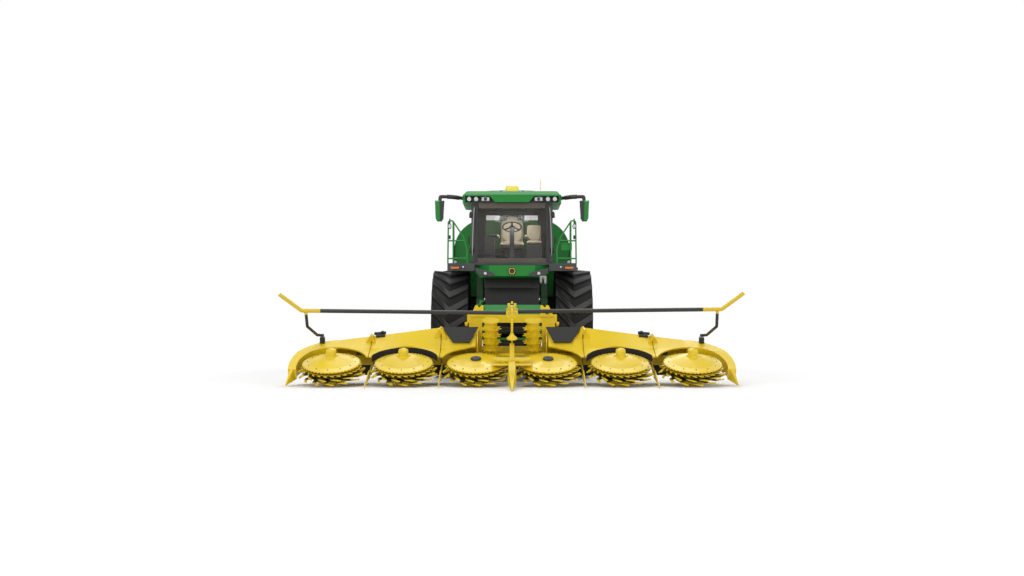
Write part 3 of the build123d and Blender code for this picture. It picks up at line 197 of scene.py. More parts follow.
class Skin(Net):
    """A material: one principled shader on object coordinates."""

    def __init__(self, name, roughness, metallic=0.0, **constants):
        self.material = bpy.data.materials.new(name)
        self.material.use_nodes = True
        super().__init__(self.material.node_tree)
        self.shader = self.tree.nodes["Principled BSDF"]
        self.set(Roughness=roughness, Metallic=metallic, **constants)
        self.place = self.add("ShaderNodeTexCoord", out="Object")
        split = self.add("ShaderNodeSeparateXYZ", (self.place,)).out.node
        self.x, self.y, self.z = (Sock(self, split.outputs[k]) for k in range(3))

    def set(self, **values):
        for key, value in values.items():
            self.put(self.shader.inputs[key.replace("_", " ")], value)

    def distance(self, across, up):
        """Length of the two runs."""
        run = self.add("ShaderNodeCombineXYZ", (across, up))
        return self.add("ShaderNodeVectorMath", (run,), 1, operation="LENGTH")

    def noise(self, scale, detail=3.0, roughness=0.55, stretch=None):
        place = self.place
        if stretch:
            place = self.add("ShaderNodeMapping", {"Vector": place, "Scale": stretch})
        ins = {"Vector": place, "Scale": scale, "Detail": detail, "Roughness": roughness}
        return self.add("ShaderNodeTexNoise", ins)

    def bump(self, height, distance, strength):
        ins = {"Height": height, "Distance": distance, "Strength": strength}
        self.set(Normal=self.add("ShaderNodeBump", ins))


def colour(red, green, blue):
    return (red, green, blue, 1.0)


def toned(base, by, plus=0.0):
    """A lighter or darker tone of a base colour."""
    return colour(*[c * by + plus for c in base])


# %% World
# %% [markdown]
# The world lights the machine dimly, and the camera, mirrors and clear glass see it as
# plain white.

WORLD_GLOW = 0.30

world = bpy.data.worlds.new("studio")
world.use_nodes = True
sky = Net(world.node_tree)
backdrop = world.node_tree.nodes["Background"]
sky.put(backdrop.inputs["Color"], colour(1, 1, 1))
sky.put(backdrop.inputs["Strength"], WORLD_GLOW + sky.seen_directly() * (1 - WORLD_GLOW))
bpy.context.scene.world = world

# %% Finishes
# %% [markdown]
# Painted sheet has a clear coat, a faint orange peel, dust that settles low down and
# small scuffs. Tyres are worn grey on their lugs, carry painted shade between them and are
# dusty on their walls. The rotor drums carry painted shade below their domes. Plastics are
# grained, the glass is tinted, and the seats are woven.


def paint(name, base, worn, coat, roughness, dust_top=1.6, dust=0.22):
    """Coated paint: base colour, the colour of its scuffs and how high dust lies on it."""
    skin = Skin(name, roughness, Coat_Roughness=0.25, Specular_IOR_Level=0.3)
    cloud = skin.noise(1.7, 4.0)
    grain = skin.noise(46.0, 2.0)
    dirt = (1 - skin.z.ramp(0.1, dust_top)) * cloud.ramp(0.38, 0.72) * dust
    scuff = skin.noise(9.0, 6.0, 0.7, (1, 1, 2.2)).ramp(0.66, 0.74) * grain.ramp(0.45, 0.62)
    tint = skin.mix(cloud.ramp(0.3, 0.7) * 0.3, colour(*base), toned(base, 0.84))
    tint = skin.mix(scuff * 0.35, tint, colour(*worn))
    skin.set(Base_Color=skin.mix(dirt, tint, colour(0.36, 0.32, 0.24)))
    skin.set(Roughness=roughness + dirt * 0.9 + scuff * 0.25 + grain * 0.04)
    skin.set(Coat_Weight=coat - dirt * 0.5)
    skin.bump(skin.noise(210.0, 1.0), 0.0006, 0.25)
    return skin.material


def plastic(name, base, roughness, grain=260.0):
    """Grained plastic or powder-coated steel."""
    skin = Skin(name, roughness, Specular_IOR_Level=0.4)
    cloud = skin.noise(3.0, 4.0)
    skin.set(Base_Color=skin.mix(cloud.ramp(0.35, 0.7) * 0.5, colour(*base), toned(base, 1.35, 0.004)))
    skin.set(Roughness=roughness + cloud * 0.14)
    skin.bump(skin.noise(grain, 2.0), 0.0008, 0.35)
    return skin.material


def rubber_tyre(name, y, z, root):
    """Tyre rubber: worn grey on the lugs, painted shade between them and dusty on the wall."""
    skin = Skin(name, 0.75, Specular_IOR_Level=0.25)
    reach = skin.distance(skin.y - y, skin.z - z)
    crown = reach.ramp(root + 0.012, root + 0.036)
    # Painted shade: the rubber between the lugs is darkened nearly to black.
    groove = reach.ramp(root - 0.03, root - 0.014) * (1 - crown)
    cloud = skin.noise(2.6, 5.0)
    fine = skin.noise(60.0, 3.0)
    dust = cloud.ramp(0.35, 0.75) * 0.4 + fine.ramp(0.55, 0.8) * 0.2
    wall = skin.mix(dust, colour(0.022, 0.022, 0.023), colour(0.075, 0.07, 0.062))
    tread = skin.mix(crown, wall, skin.mix(fine, colour(0.048, 0.048, 0.05), colour(0.075, 0.074, 0.072)))
    skin.set(Base_Color=skin.mix(groove * 0.85, tread, colour(0.006, 0.006, 0.006)))
    skin.set(Roughness=0.68 + dust * 0.25)
    skin.bump(fine + skin.noise(240.0, 1.0) * 0.4, 0.002, 0.5)
    return skin.material


def steel(name, base, roughness, stretch=(1, 1, 30)):
    """Bare or plated steel with fine grind lines."""
    skin = Skin(name, roughness, 1.0)
    lines = skin.noise(90.0, 3.0, 0.6, stretch)
    skin.set(Base_Color=skin.mix(skin.noise(5.0).ramp(0.4, 0.7) * 0.5, colour(*base), toned(base, 0.72)))
    skin.set(Roughness=roughness + lines * 0.16)
    skin.bump(lines, 0.0004, 0.3)
    return skin.material


def glass(name, base, alpha, roughness=0.03):
    """Thin glass: tinted, glossy and part clear."""
    skin = Skin(name, roughness, 0.0, Specular_IOR_Level=0.8, Coat_Roughness=0.02)
    smear = skin.noise(2.2, 5.0).ramp(0.45, 0.8)
    skin.set(Base_Color=skin.mix(smear, colour(*base), toned(base, 1.25, 0.02)))
    skin.set(Roughness=roughness + smear * 0.06, Alpha=alpha + smear * 0.05)
    return skin.material


def cloth(name, base):
    """Woven seat cloth: warp and weft threads, mottled yarn."""
    skin = Skin(name, 0.9, 0.0, Sheen_Weight=0.25, Sheen_Roughness=0.5, Specular_IOR_Level=0.2)
    threads = {"Vector": skin.place, "Scale": 160.0, "Distortion": 0.6}
    warp = skin.add("ShaderNodeTexWave", threads, 1, bands_direction="X")
    weft = skin.add("ShaderNodeTexWave", threads, 1, bands_direction="Z")
    weave = warp * weft
    mottle = skin.noise(38.0, 4.0).ramp(0.35, 0.7)
    skin.set(Base_Color=skin.mix(weave * 0.4 + mottle * 0.5, colour(*base), toned(base, 0.62)))
    skin.bump(weave, 0.0012, 0.6)
    return skin.material


def header_height(skin):
    """Height over the rotors' plane, square to it."""
    return (skin.z - ROTOR_Z) * cos(LEAN) - (skin.y - ROTOR_Y) * sin(LEAN)


def drum_paint():
    """Yellow header paint with painted shade: dark below the dome's rim and near the axis, yellow on the
    finger tips.
    """
    skin = Skin("drum_paint", 0.36, Specular_IOR_Level=0.45, Coat_Weight=0.4, Coat_Roughness=0.15)
    height = header_height(skin)
    along = (skin.y - ROTOR_Y) * cos(LEAN) + (skin.z - ROTOR_Z) * sin(LEAN)
    turns = skin.x * (1 / ROTOR_PITCH)
    across = (turns - skin.add("ShaderNodeMath", (turns,), operation="FLOOR") - 0.5) * ROTOR_PITCH
    tips = skin.distance(across, along).ramp(0.465, 0.525)
    # Painted shade: low down and inside the fingers' tips, where shade falls under the dome, the paint turns
    # dark.
    unshaded = (height.ramp(0.06, 0.19) + tips).at_most_one()
    # Random darker blotches, laid only on the painted shade.
    worn = skin.noise(24.0, 4.0).ramp(0.45, 0.7) * (1 - unshaded)
    base = skin.mix(unshaded, colour(0.10, 0.075, 0.012), colour(*YELLOW))
    skin.set(Base_Color=skin.mix(worn * 0.6, base, colour(0.05, 0.045, 0.03)))
    skin.bump(skin.noise(210.0, 1.0), 0.0006, 0.25)
    return skin.material


def bar_paint():
    """Black bar whose raised outer ends are yellow."""
    skin = Skin("bar_paint", 0.4, Specular_IOR_Level=0.4)
    tip = abs(skin.x).over(3.24) * header_height(skin).over(1.035)
    cloud = skin.noise(3.0, 4.0).ramp(0.35, 0.7) * 0.5
    dark = skin.mix(cloud, colour(0.02, 0.02, 0.021), colour(0.032, 0.032, 0.033))
    skin.set(Base_Color=skin.mix(tip, dark, colour(0.66, 0.46, 0.02)))
    skin.bump(skin.noise(260.0, 2.0), 0.0006, 0.3)
    return skin.material


GREEN = (0.006, 0.19, 0.022)
YELLOW = (0.78, 0.56, 0.008)
finish = {
    "green": paint("green_paint", GREEN, (0.04, 0.25, 0.06), 0.2, 0.38),
    "dark_green": paint("chassis_paint", (0.008, 0.105, 0.02), (0.05, 0.14, 0.05), 0.3, 0.42, 1.9, 0.3),
    "yellow": paint("yellow_paint", YELLOW, (0.72, 0.58, 0.16), 0.3, 0.36, 0.9, 0.16),
    "rim_yellow": paint("rim_paint", (0.80, 0.60, 0.04), (0.6, 0.5, 0.2), 0.5, 0.36, 1.2, 0.3),
    "tyre": rubber_tyre("front_tyre_rubber", FRONT_AXLE_Y, FRONT_AXLE_Z, 0.998),
    "rear_tyre": rubber_tyre("rear_tyre_rubber", REAR_AXLE_Y, REAR_AXLE_Z, 0.693),
    "drum": drum_paint(),
    "bar": bar_paint(),
    "black": plastic("black_trim", (0.018, 0.018, 0.019), 0.42),
    "grey": plastic("grey_trim", (0.045, 0.046, 0.048), 0.5),
    "tank": plastic("tank_plastic", (0.022, 0.023, 0.024), 0.45, 90.0),
    "rubber": plastic("soft_rubber", (0.018, 0.018, 0.018), 0.66, 120.0),
    "steel": steel("bright_steel", (0.62, 0.62, 0.62), 0.24),
    "dull_steel": steel("dull_steel", (0.27, 0.27, 0.27), 0.42, (1, 8, 1)),
    "engine": paint("engine_paint", (0.13, 0.15, 0.14), (0.25, 0.24, 0.22), 0.1, 0.5),
    "window": glass("cab_window", (0.07, 0.062, 0.045), 0.16),
    "lens": glass("lamp_lens", (0.82, 0.84, 0.86), 0.45, 0.05),
    "cream": plastic("aerial_cream", (0.78, 0.66, 0.10), 0.35),
    "band": plastic("screen_band", (0.085, 0.07, 0.056), 0.16),
    "seat": cloth("seat_cloth", (0.36, 0.31, 0.22)),
    "amber": glass("amber_lens", (0.62, 0.17, 0.01), 0.95, 0.12),
    "red": glass("red_lens", (0.65, 0.02, 0.02), 0.95, 0.12),
    "mirror": steel("mirror_glass", (0.55, 0.57, 0.6), 0.03, (1, 1, 1)),
}

# %% Dressing the frame
# %% [markdown]
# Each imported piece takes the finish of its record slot, but for a few that the slot
# names too widely.

SLOT_FINISH = {
    "tyre": "tyre", "rim_yellow": "rim_yellow", "green": "green", "dark_green": "dark_green",
    "header_yellow": "yellow", "bright_steel": "steel", "black_metal": "black", "black_rubber": "rubber",
    "dark_grey": "grey", "tank_black": "tank", "tinted_glass": "window", "lamp": "lens",
    "aerial_cream": "cream", "seat_beige": "seat", "engine_iron": "engine",
}
OWN_FINISH = {"rotor_drum": "drum", "push_bar": "bar", "feed_roll": "grey", "rear_tyre": "rear_tyre"}
for part in frame["record"]["subparts"]:
    skin = finish[SLOT_FINISH[part["material_slot"]]]
    for start, other in OWN_FINISH.items():
        if part["node"].startswith(start):
            skin = finish[other]
    piece = nodes[part["node"]]
    if not piece.data.materials:
        piece.data.materials.append(skin)
    for holder in piece.material_slots:
        holder.material = skin
print("dressed", len(nodes), "packed pieces")

# %% Shaping tools
# %% [markdown]
# Small mesh builders that put bevelled slabs, rods, turned forms and swept tubes into one
# piece, and a Geometry Nodes pattern for the bolts.

FORWARDS = Matrix.Rotation(pi / 2, 4, "X")


def round_edges(shape, verts, width):
    """Bevels the edges that meet some vertices and returns the vertices that this makes."""
    edges = {edge for vert in verts for edge in vert.link_edges}
    made = bmesh.ops.bevel(shape, geom=list(edges), offset=width, segments=2, profile=0.6, affect="EDGES")
    return made["verts"]


def slab(shape, place, size, bevel=0.0, turn=None):
    """A box with its edges rounded, centred at place."""
    made = bmesh.ops.create_cube(shape, size=1.0, matrix=Matrix.Diagonal((*size, 1)))["verts"]
    if bevel:
        made = round_edges(shape, made, bevel)
        made = list({vert for face in {f for v in made for f in v.link_faces} for vert in face.verts})
    matrix = Matrix.Translation(place) @ (turn or Matrix.Identity(4))
    bmesh.ops.transform(shape, matrix=matrix, verts=made)


def tilted(shape, place, size, bevel):
    """A slab that lies in the header's tilted frame, at a point of that frame."""
    slab(shape, head(*place), size, bevel, TILT)


def lathe(shape, profile, matrix, steps=32):
    """Profile points (along, radius) turned about the matrix's Z axis; radius 0 is one point."""
    rings = []
    for along, radius in profile:
        turns = [2 * pi * k / steps for k in range(steps if radius > 0 else 1)]
        ring = [Vector((radius * cos(a), radius * sin(a), along)) for a in turns]
        rings.append([shape.verts.new(matrix @ point) for point in ring])
    for low, high in zip(rings, rings[1:]):
        for k in range(steps):
            n = (k + 1) % steps
            corners = [low[k % len(low)], low[n % len(low)], high[n % len(high)], high[k % len(high)]]
            corners = list(dict.fromkeys(corners))
            if len(corners) > 2:
                shape.faces.new(corners).smooth = True


def aim(start, towards):
    """A matrix at start whose Z axis points along towards."""
    return Matrix.Translation(start) @ Vector(towards).to_track_quat("Z", "Y").to_matrix().to_4x4()


def rod(shape, start, end, radius, steps=16):
    """A closed round bar between two points, with softened ends."""
    run = Vector(end) - Vector(start)
    far, lip = run.length, radius * 0.15
    profile = ((0, 0), (0, radius - lip), (lip, radius), (far - lip, radius), (far, radius - lip), (far, 0))
    lathe(shape, profile, aim(start, run), steps)


def outline_prism(shape, corners, depth, matrix, bevel=0.0):
    """Flat corners in the matrix's XY plane, thickened along its Z."""
    low = [shape.verts.new(matrix @ Vector((x, y, 0))) for x, y in corners]
    face = shape.faces.new(low)
    grown = bmesh.ops.extrude_face_region(shape, geom=[face])["geom"]
    top = [item for item in grown if isinstance(item, bmesh.types.BMVert)]
    lift = matrix.to_3x3() @ Vector((0, 0, depth))
    bmesh.ops.translate(shape, verts=top, vec=lift)
    if bevel:
        round_edges(shape, low + top, bevel)


def facing_plate(shape, s, outline, y, depth, bevel=0.0):
    """A plate that faces forwards from y: its outline of across and height, mirrored by s."""
    corners = [(s * x, z) for x, z in outline]
    place = Matrix.Translation((0, y, 0)) @ FORWARDS
    outline_prism(shape, corners if s > 0 else corners[::-1], depth, place, bevel)


def placed(name, data):
    """An object of some data, linked to the scene."""
    piece = bpy.data.objects.new(name, data)
    bpy.context.scene.collection.objects.link(piece)
    return piece


def from_shape(name, shape, *skins):
    """An object from a finished bmesh, with its finishes."""
    data = bpy.data.meshes.new(name)
    shape.to_mesh(data)
    shape.free()
    for skin in skins:
        data.materials.append(skin)
    return placed(name, data)


def mesh_piece(name, build, skin):
    """An object from a bmesh filled by build, at the origin with one finish."""
    shape = bmesh.new()
    build(shape)
    bmesh.ops.recalc_face_normals(shape, faces=shape.faces)
    return from_shape(name, shape, skin)


def both_sides(build):
    """Runs a builder once a side: build(shape, s) with s = 1 on the left, -1 on the right."""
    def filled(shape):
        for _, s in SIDES:
            build(shape, s)
    return filled


def evaluated(holder):
    """The mesh that a holder's curve or modifier gives; the holder goes."""
    data = bpy.data.meshes.new_from_object(holder.evaluated_get(bpy.context.evaluated_depsgraph_get()))
    bpy.data.objects.remove(holder)
    return data


def tube(name, points, radius, skin):
    """A smooth bent bar or sleeve through control points, as a mesh."""
    curve = bpy.data.curves.new(name + "_line", "CURVE")
    curve.dimensions = "3D"
    curve.bevel_depth = radius
    curve.bevel_resolution = 4
    curve.use_fill_caps = True
    line = curve.splines.new("NURBS")
    line.points.add(len(points) - 1)
    for point, where in zip(line.points, points):
        point.co = (*where, 1)
    line.order_u = 3
    line.use_endpoint_u = True
    line.resolution_u = 8
    data = evaluated(placed(name + "_line", curve))
    data.name = name
    data.materials.clear()
    data.materials.append(skin)
    return placed(name, data)


def tube_pair(name, points, radius, skin):
    """A tube on each side, through points given for the left."""
    return [tube(f"{name}_{side}", [(s * x, y, z) for x, y, z in points], radius, skin) for side, s in SIDES]


def joined(name, *pieces):
    """Several meshes as one object."""
    shape = bmesh.new()
    skins = []
    for piece in pieces:
        first = len(shape.faces)
        shape.from_mesh(piece.data)
        shape.faces.ensure_lookup_table()
        for face in shape.faces[first:]:
            face.material_index = len(skins)
        skins.append(piece.data.materials[0])
        bpy.data.objects.remove(piece)
    return from_shape(name, shape, *skins)


class Pattern(Net):
    """A Geometry Nodes tree with named inputs, whose result is kept as a plain mesh."""

    def __init__(self, name, **inputs):
        tree = bpy.data.node_groups.new(name, "GeometryNodeTree")
        super().__init__(tree)
        self.keys = {}
        kinds = {type(None): "NodeSocketMaterial", int: "NodeSocketInt", float: "NodeSocketFloat"}
        for key, value in inputs.items():
            socket = tree.interface.new_socket(key, in_out="INPUT", socket_type=kinds[type(value)])
            self.keys[key] = socket.identifier
        tree.interface.new_socket("Geometry", in_out="OUTPUT", socket_type="NodeSocketGeometry")
        self.entry = tree.nodes.new("NodeGroupInput")
        self.exit = tree.nodes.new("NodeGroupOutput")

    def given(self, key):
        return Sock(self, self.entry.outputs[key])

    def close(self, geometry):
        """Realizes the instances, sets their material and ends the tree."""
        real = self.add("GeometryNodeRealizeInstances", (geometry,))
        named = self.add("GeometryNodeSetMaterial", {"Geometry": real, "Material": self.given("Finish")})
        self.put(self.exit.inputs[0], named)

    def make(self, name, place, **values):
        """One mesh from the pattern, moved to place."""
        holder = placed(name, bpy.data.meshes.new(name))
        modifier = holder.modifiers.new("pattern", "NODES")
        modifier.node_group = self.tree
        for key, value in values.items():
            modifier[self.keys[key]] = value
        bpy.context.view_layer.update()
        once = evaluated(holder)
        once.transform(place)
        shape = bmesh.new()
        shape.from_mesh(once)
        bpy.data.meshes.remove(once)
        return from_shape(name, shape, values["Finish"])


def bolt_circle():
    """Hex heads with washers on a circle: Count, Ring, Size."""
    net = Pattern("bolt_circle", Count=8, Ring=0.1, Size=0.01, Finish=None)
    size = net.given("Size")
    washer = net.add("GeometryNodeMeshCylinder", {"Vertices": 14, "Radius": size * 1.35, "Depth": size * 0.3})
    hexagon = net.add("GeometryNodeMeshCylinder", {"Vertices": 6, "Radius": size, "Depth": size * 0.9})
    lift = net.add("ShaderNodeCombineXYZ", {"Z": size * 0.6})
    hexagon = net.add("GeometryNodeTransform", {"Geometry": hexagon, "Translation": lift})
    both = net.tree.nodes.new("GeometryNodeJoinGeometry")
    for part in (washer, hexagon):
        net.put(both.inputs[0], part)
    ring = net.add("GeometryNodeMeshCircle", {"Vertices": net.given("Count"), "Radius": net.given("Ring")})
    bolt = Sock(net, both.outputs[0])
    net.close(net.add("GeometryNodeInstanceOnPoints", {"Points": ring, "Instance": bolt}))
    return net


BOLTS = bolt_circle()


def bolts(name, place, count, ring, size):
    """A circle of steel bolts about the Z axis of place."""
    return BOLTS.make(name, place, Count=count, Ring=ring, Size=size, Finish=finish["dull_steel"])


def riding(piece, body, slot, *hidden):
    """Puts a piece on a body and hides the nodes it stands for; slot is not used."""
    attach(piece, body)
    if hidden:
        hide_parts(*hidden)
    print(f"{piece.name}: {len(piece.data.polygons)} faces on {body}")
    return piece


def fit(name, build, skin, body, slot, *hidden):
    """Builds a piece in one finish and puts it on its body."""
    return riding(mesh_piece(name, build, finish[skin]), body, slot, *hidden)


def fit_pair(name, build, skin, body, slot):
    """One piece a side, on the body of its own side: build(shape, s)."""
    for side, s in SIDES:
        fit(f"{name}_{side}", lambda shape: build(shape, s), skin, f"{body}_{side}", slot)


# %% Wheel nuts
# %% [markdown]
# The disc of each rim is held by a circle of nuts round its hub.

NUT_RING = 0.205
WHEEL_NUTS = (
    # axle, across, y, z, nuts, size
    ("front", 1.133, FRONT_AXLE_Y, FRONT_AXLE_Z, 12, 0.017),
    ("rear", 1.188, REAR_AXLE_Y, REAR_AXLE_Z, 10, 0.015),
)
for side, s in SIDES:
    for axle, across, y, z, count, size in WHEEL_NUTS:
        hub = aim((s * across, y, z), (s, 0, 0))
        nuts = bolts(f"{axle}_wheel_nuts_{side}", hub, count, NUT_RING, size)
        riding(nuts, f"{axle}_wheel_{side}", "bright_steel")

# %% Rotor bolts
# %% [markdown]
# The saw rings and the caps of the domes are bolted down.

ROTORS = range(1, 7)
MIDDLE_ROTORS = (3, 4)


def rotor_place(k, w=0.0):
    """A place at height w on the axis of the k-th rotor, counted from the machine's right."""
    return HEADER @ Matrix.Translation(((k - 3.5) * ROTOR_PITCH, 0, w))


for k in ROTORS:
    if k in MIDDLE_ROTORS:
        cap = bolts(f"rotor_cap_bolts_{k}", rotor_place(k, 0.2875), 6, 0.04, 0.007)
    else:
        cap = bolts(f"rotor_cap_bolts_{k}", rotor_place(k, 0.348), 4, 0.062, 0.007)
    riding(cap, f"rotor_{k}", "header_yellow")
    rim = bolts(f"rotor_rim_bolts_{k}", rotor_place(k, 0.222), 12, 0.405, 0.009)
    riding(rim, f"rotor_{k}", "header_yellow")

# %% Cab seats
# %% [markdown]
# Padded seats: each pad is a crowned form whose sides pull in, with channels sewn across.

CROWN, CHANNEL_DEPTH, CHANNEL_HALF = 0.22, 0.14, 0.09


def pad(name, centre, size, turn, channels):
    """A stuffed pad: rounded, crowned on its broad faces, with sewn channels on the upper one."""
    wide, deep, thick = (0.5 * length for length in size)
    shape = bmesh.new()
    bmesh.ops.create_cube(shape, size=2.0)
    bmesh.ops.subdivide_edges(shape, edges=shape.edges, cuts=11, use_grid_fill=True)
    for vert in shape.verts:
        x, y, z = vert.co
        soft = 1 - 0.16 * (abs(x) ** 4 + abs(y) ** 4) * abs(z) - 0.10 * abs(x * y) ** 3
        crowned = z * (1 - CROWN * (0.5 * x ** 4 + 0.5 * y ** 4))
        groove = 0.0
        for c in range(channels if z > 0.5 else 0):
            line = -0.6 + 1.2 * (c + 0.5) / channels
            groove = max(groove, CHANNEL_DEPTH * (1 - min(1.0, abs(y - line) / CHANNEL_HALF)))
        pull = 1 - 0.035 * (1 - abs(y) ** 3)
        vert.co = (wide * x * soft * pull, deep * y * soft, thick * (crowned - groove))
    matrix = Matrix.Translation(centre) @ Matrix.Rotation(turn, 4, "X")
    bmesh.ops.transform(shape, matrix=matrix, verts=shape.verts)
    for face in shape.faces:
        face.smooth = True
    return from_shape(name, shape, finish["seat"])


SEAT_PADS = (
    # name, centre, size, turn about X in degrees, channels
    ("driver_cushion", (0, -0.80, 2.57), (0.50, 0.50, 0.14), 3, 3),
    ("driver_back", (0, -0.455, 2.83), (0.46, 0.50, 0.11), 81, 4),
    ("driver_headrest", (0, -0.40, 3.06), (0.26, 0.17, 0.09), 83, 0),
    ("armrest_left", (0.275, -0.72, 2.73), (0.07, 0.32, 0.06), 0, 0),
    ("armrest_right", (-0.275, -0.72, 2.73), (0.07, 0.32, 0.06), 0, 0),
    ("passenger_cushion", (0.43, -0.76, 2.61), (0.31, 0.38, 0.09), 2, 2),
    ("passenger_back", (0.43, -0.585, 2.80), (0.29, 0.34, 0.07), 83, 3),
)
for name, centre, size, turn, channels in SEAT_PADS:
    piece = pad(name, centre, size, radians(turn), channels)
    stands_for = ("cab_seats",) if name == "driver_cushion" else ()
    riding(piece, "chassis", "seat_beige", *stands_for)


def seat_frames(shape):
    """Pedestals, rails and shells under and behind the pads."""
    slab(shape, (0, -0.80, 2.255), (0.36, 0.38, 0.035), 0.006)
    for k in range(5):
        fold = 0.012 * (k % 2)
        slab(shape, (0, -0.80, 2.29 + 0.04 * k), (0.30 - fold, 0.32 - fold, 0.034), 0.008)
    slab(shape, (0, -0.80, 2.493), (0.42, 0.44, 0.025), 0.008)
    slab(shape, (0, -0.382, 2.80), (0.40, 0.02, 0.50), 0.008, Matrix.Rotation(radians(-9), 4, "X"))
    slab(shape, (0.43, -0.76, 2.40), (0.29, 0.33, 0.31), 0.01)
    slab(shape, (0.43, -0.535, 2.76), (0.26, 0.02, 0.36), 0.006, Matrix.Rotation(radians(-7), 4, "X"))


fit("seat_frames", seat_frames, "grey", "chassis", "dark_grey")

# %% Steering wheel and console
# %% [markdown]
# Column with its boot, a rimmed wheel on three spokes, and the armrest console with its
# lever.

WHEEL = aim((0, -1.19, 2.875), (0, 0.45, 0.9))
GRIP_REACH, GRIP_RADIUS = 0.176, 0.013


def controls(shape):
    steps, ring = 48, 12
    rows = []
    for k in range(steps):
        turn = 2 * pi * k / steps
        row = []
        for j in range(ring):
            reach = GRIP_REACH + GRIP_RADIUS * cos(2 * pi * j / ring)
            up = 0.012 + GRIP_RADIUS * sin(2 * pi * j / ring)
            row.append(shape.verts.new(WHEEL @ Vector((reach * cos(turn), reach * sin(turn), up))))
        rows.append(row)
    for k in range(steps):
        near, far = rows[k], rows[(k + 1) % steps]
        for j in range(ring):
            n = (j + 1) % ring
            shape.faces.new((near[j], far[j], far[n], near[n])).smooth = True
    for turn in (pi / 2, pi / 2 + 2.2, pi / 2 - 2.2):
        spoke = WHEEL @ Matrix.Rotation(turn, 4, "Z")
        slab(shape, (0, 0, 0), (0.13, 0.034, 0.01), 0.003, spoke @ Matrix.Translation((0.10, 0, 0.010)))
    lathe(shape, ((0, 0), (0, 0.05), (0.016, 0.05), (0.026, 0.034), (0.028, 0)), WHEEL, 28)
    lathe(shape, ((0, 0), (0, 0.078), (0.02, 0.078), (0.05, 0.05), (0.31, 0.044)),
          Matrix.Translation((0, -1.36, 2.236)), 24)
    rod(shape, (0, -1.345, 2.535), (0, -1.20, 2.86), 0.044, 20)
    slab(shape, (-0.43, -0.83, 2.475), (0.20, 0.52, 0.47), 0.02)
    slab(shape, (-0.37, -0.98, 2.73), (0.17, 0.25, 0.04), 0.015)
    rod(shape, (-0.37, -1.05, 2.74), (-0.37, -1.06, 2.79), 0.014)


fit("cab_control_set", controls, "grey", "chassis", "dark_grey", "cab_controls")

# %% Lamps
# %% [markdown]
# A lamp is a dark bezel, a bright dished bowl and a clear lens; the same builder makes the
# roof's, the nose's and the rails' lamps. The roof's sit in black pockets, where a framed
# twin lamp stands beside the round ones.

ROOF_LAMP_Z = 3.357
ROUND_LAMPS = (
    # across, y, z, radius
    (0.793, -1.749, ROOF_LAMP_Z, 0.038), (0.664, -1.749, ROOF_LAMP_Z, 0.038), (0.494, -1.852, 1.98, 0.028),
    (1.155, -1.70, 2.86, 0.034), (1.06, -1.60, 2.20, 0.030), (0.90, -1.80, 2.10, 0.016),
)
TWIN_X = 0.491
TWIN_FRAME = (
    # shift across, shift up, width, height
    (0, 0.0375, 0.158, 0.008), (0, -0.0375, 0.158, 0.008), (0.076, 0, 0.008, 0.08), (-0.076, 0, 0.008, 0.08),
)
POCKET = ((0.316, 3.303), (0.411, 3.409), (0.8625, 3.409), (0.8625, 3.303))


def each_lamp():
    for across, y, z, radius in ROUND_LAMPS:
        for _, s in SIDES:
            yield Matrix.Translation((s * across, y, z)) @ FORWARDS, radius


def lamp_bezels(shape):
    for matrix, radius in each_lamp():
        lathe(shape, ((-0.05, 0), (-0.05, 0.6 * radius), (-0.012, 1.12 * radius), (0.006, 1.12 * radius),
                      (0.006, radius), (-0.006, radius)), matrix, 28)
    for _, s in SIDES:
        for dx, dz, wide, tall in TWIN_FRAME:
            slab(shape, (s * TWIN_X + dx, -1.751, ROOF_LAMP_Z + dz), (wide, 0.012, tall), 0.002)
        slab(shape, (s * TWIN_X, -1.7505, ROOF_LAMP_Z), (0.05, 0.006, 0.05), 0.004)


def lamp_bowls(shape):
    for matrix, radius in each_lamp():
        lathe(shape, ((0.0005, 0), (0.001, 0.35 * radius), (0.0035, 0.97 * radius)), matrix, 28)
    for _, s in SIDES:
        for dx in (-0.047, 0.047):
            slab(shape, (s * TWIN_X + dx, -1.7495, ROOF_LAMP_Z), (0.034, 0.004, 0.058), 0.002)


def lamp_lenses(shape):
    for matrix, radius in each_lamp():
        lathe(shape, ((0.0085, 0), (0.0075, 0.6 * radius), (0.0045, 0.985 * radius)), matrix, 28)


def pocket_liners(shape, s):
    facing_plate(shape, s, POCKET, -1.667, 0.002)
    slab(shape, (s * 0.637, -1.712, 3.4108), (0.448, 0.092, 0.0016))
    slab(shape, (s * 0.8638, -1.712, 3.356), (0.0016, 0.092, 0.106))


for name, build, skin, slot in (
    ("lamp_bezels", lamp_bezels, "black", "black_metal"),
    ("lamp_bowls", lamp_bowls, "mirror", "bright_steel"),
    ("lamp_lenses", lamp_lenses, "lens", "lamp"),
    ("roof_pocket_liners", both_sides(pocket_liners), "black", "black_metal"),
):
    fit(name, build, skin, "chassis", slot)

# %% Mirrors and roof trim
# %% [markdown]
# Each mirror shows a black face beside its green shell, on a thick black arm; small black
# feet, a cap and a thin rail stand on the roof.

MIRROR_FACE = ((1.256, 3.315), (1.338, 3.317), (1.328, 2.960), (1.308, 2.955), (1.274, 3.004))
MIRROR_ARM = ((0.955, -1.513, 3.40), (1.03, -1.59, 3.402), (1.12, -1.68, 3.405), (1.30, -1.725, 3.405),
              (1.333, -1.73, 3.40), (1.333, -1.73, 3.325))
ARM_BOOT = ((0.99, -1.548, 3.401), (1.06, -1.62, 3.403), (1.12, -1.68, 3.405), (1.20, -1.70, 3.405))
ROOF_RAIL = ((-0.52, -1.52, 3.513), (-0.50, -1.54, 3.532), (0, -1.56, 3.534), (0.46, -1.54, 3.532),
             (0.48, -1.52, 3.513))


def mirror_faces(shape, s):
    facing_plate(shape, s, MIRROR_FACE, -1.7895, 0.006, 0.002)
    slab(shape, (s * 1.337, -1.6835, 3.135), (0.135, 0.006, 0.30), 0.02)


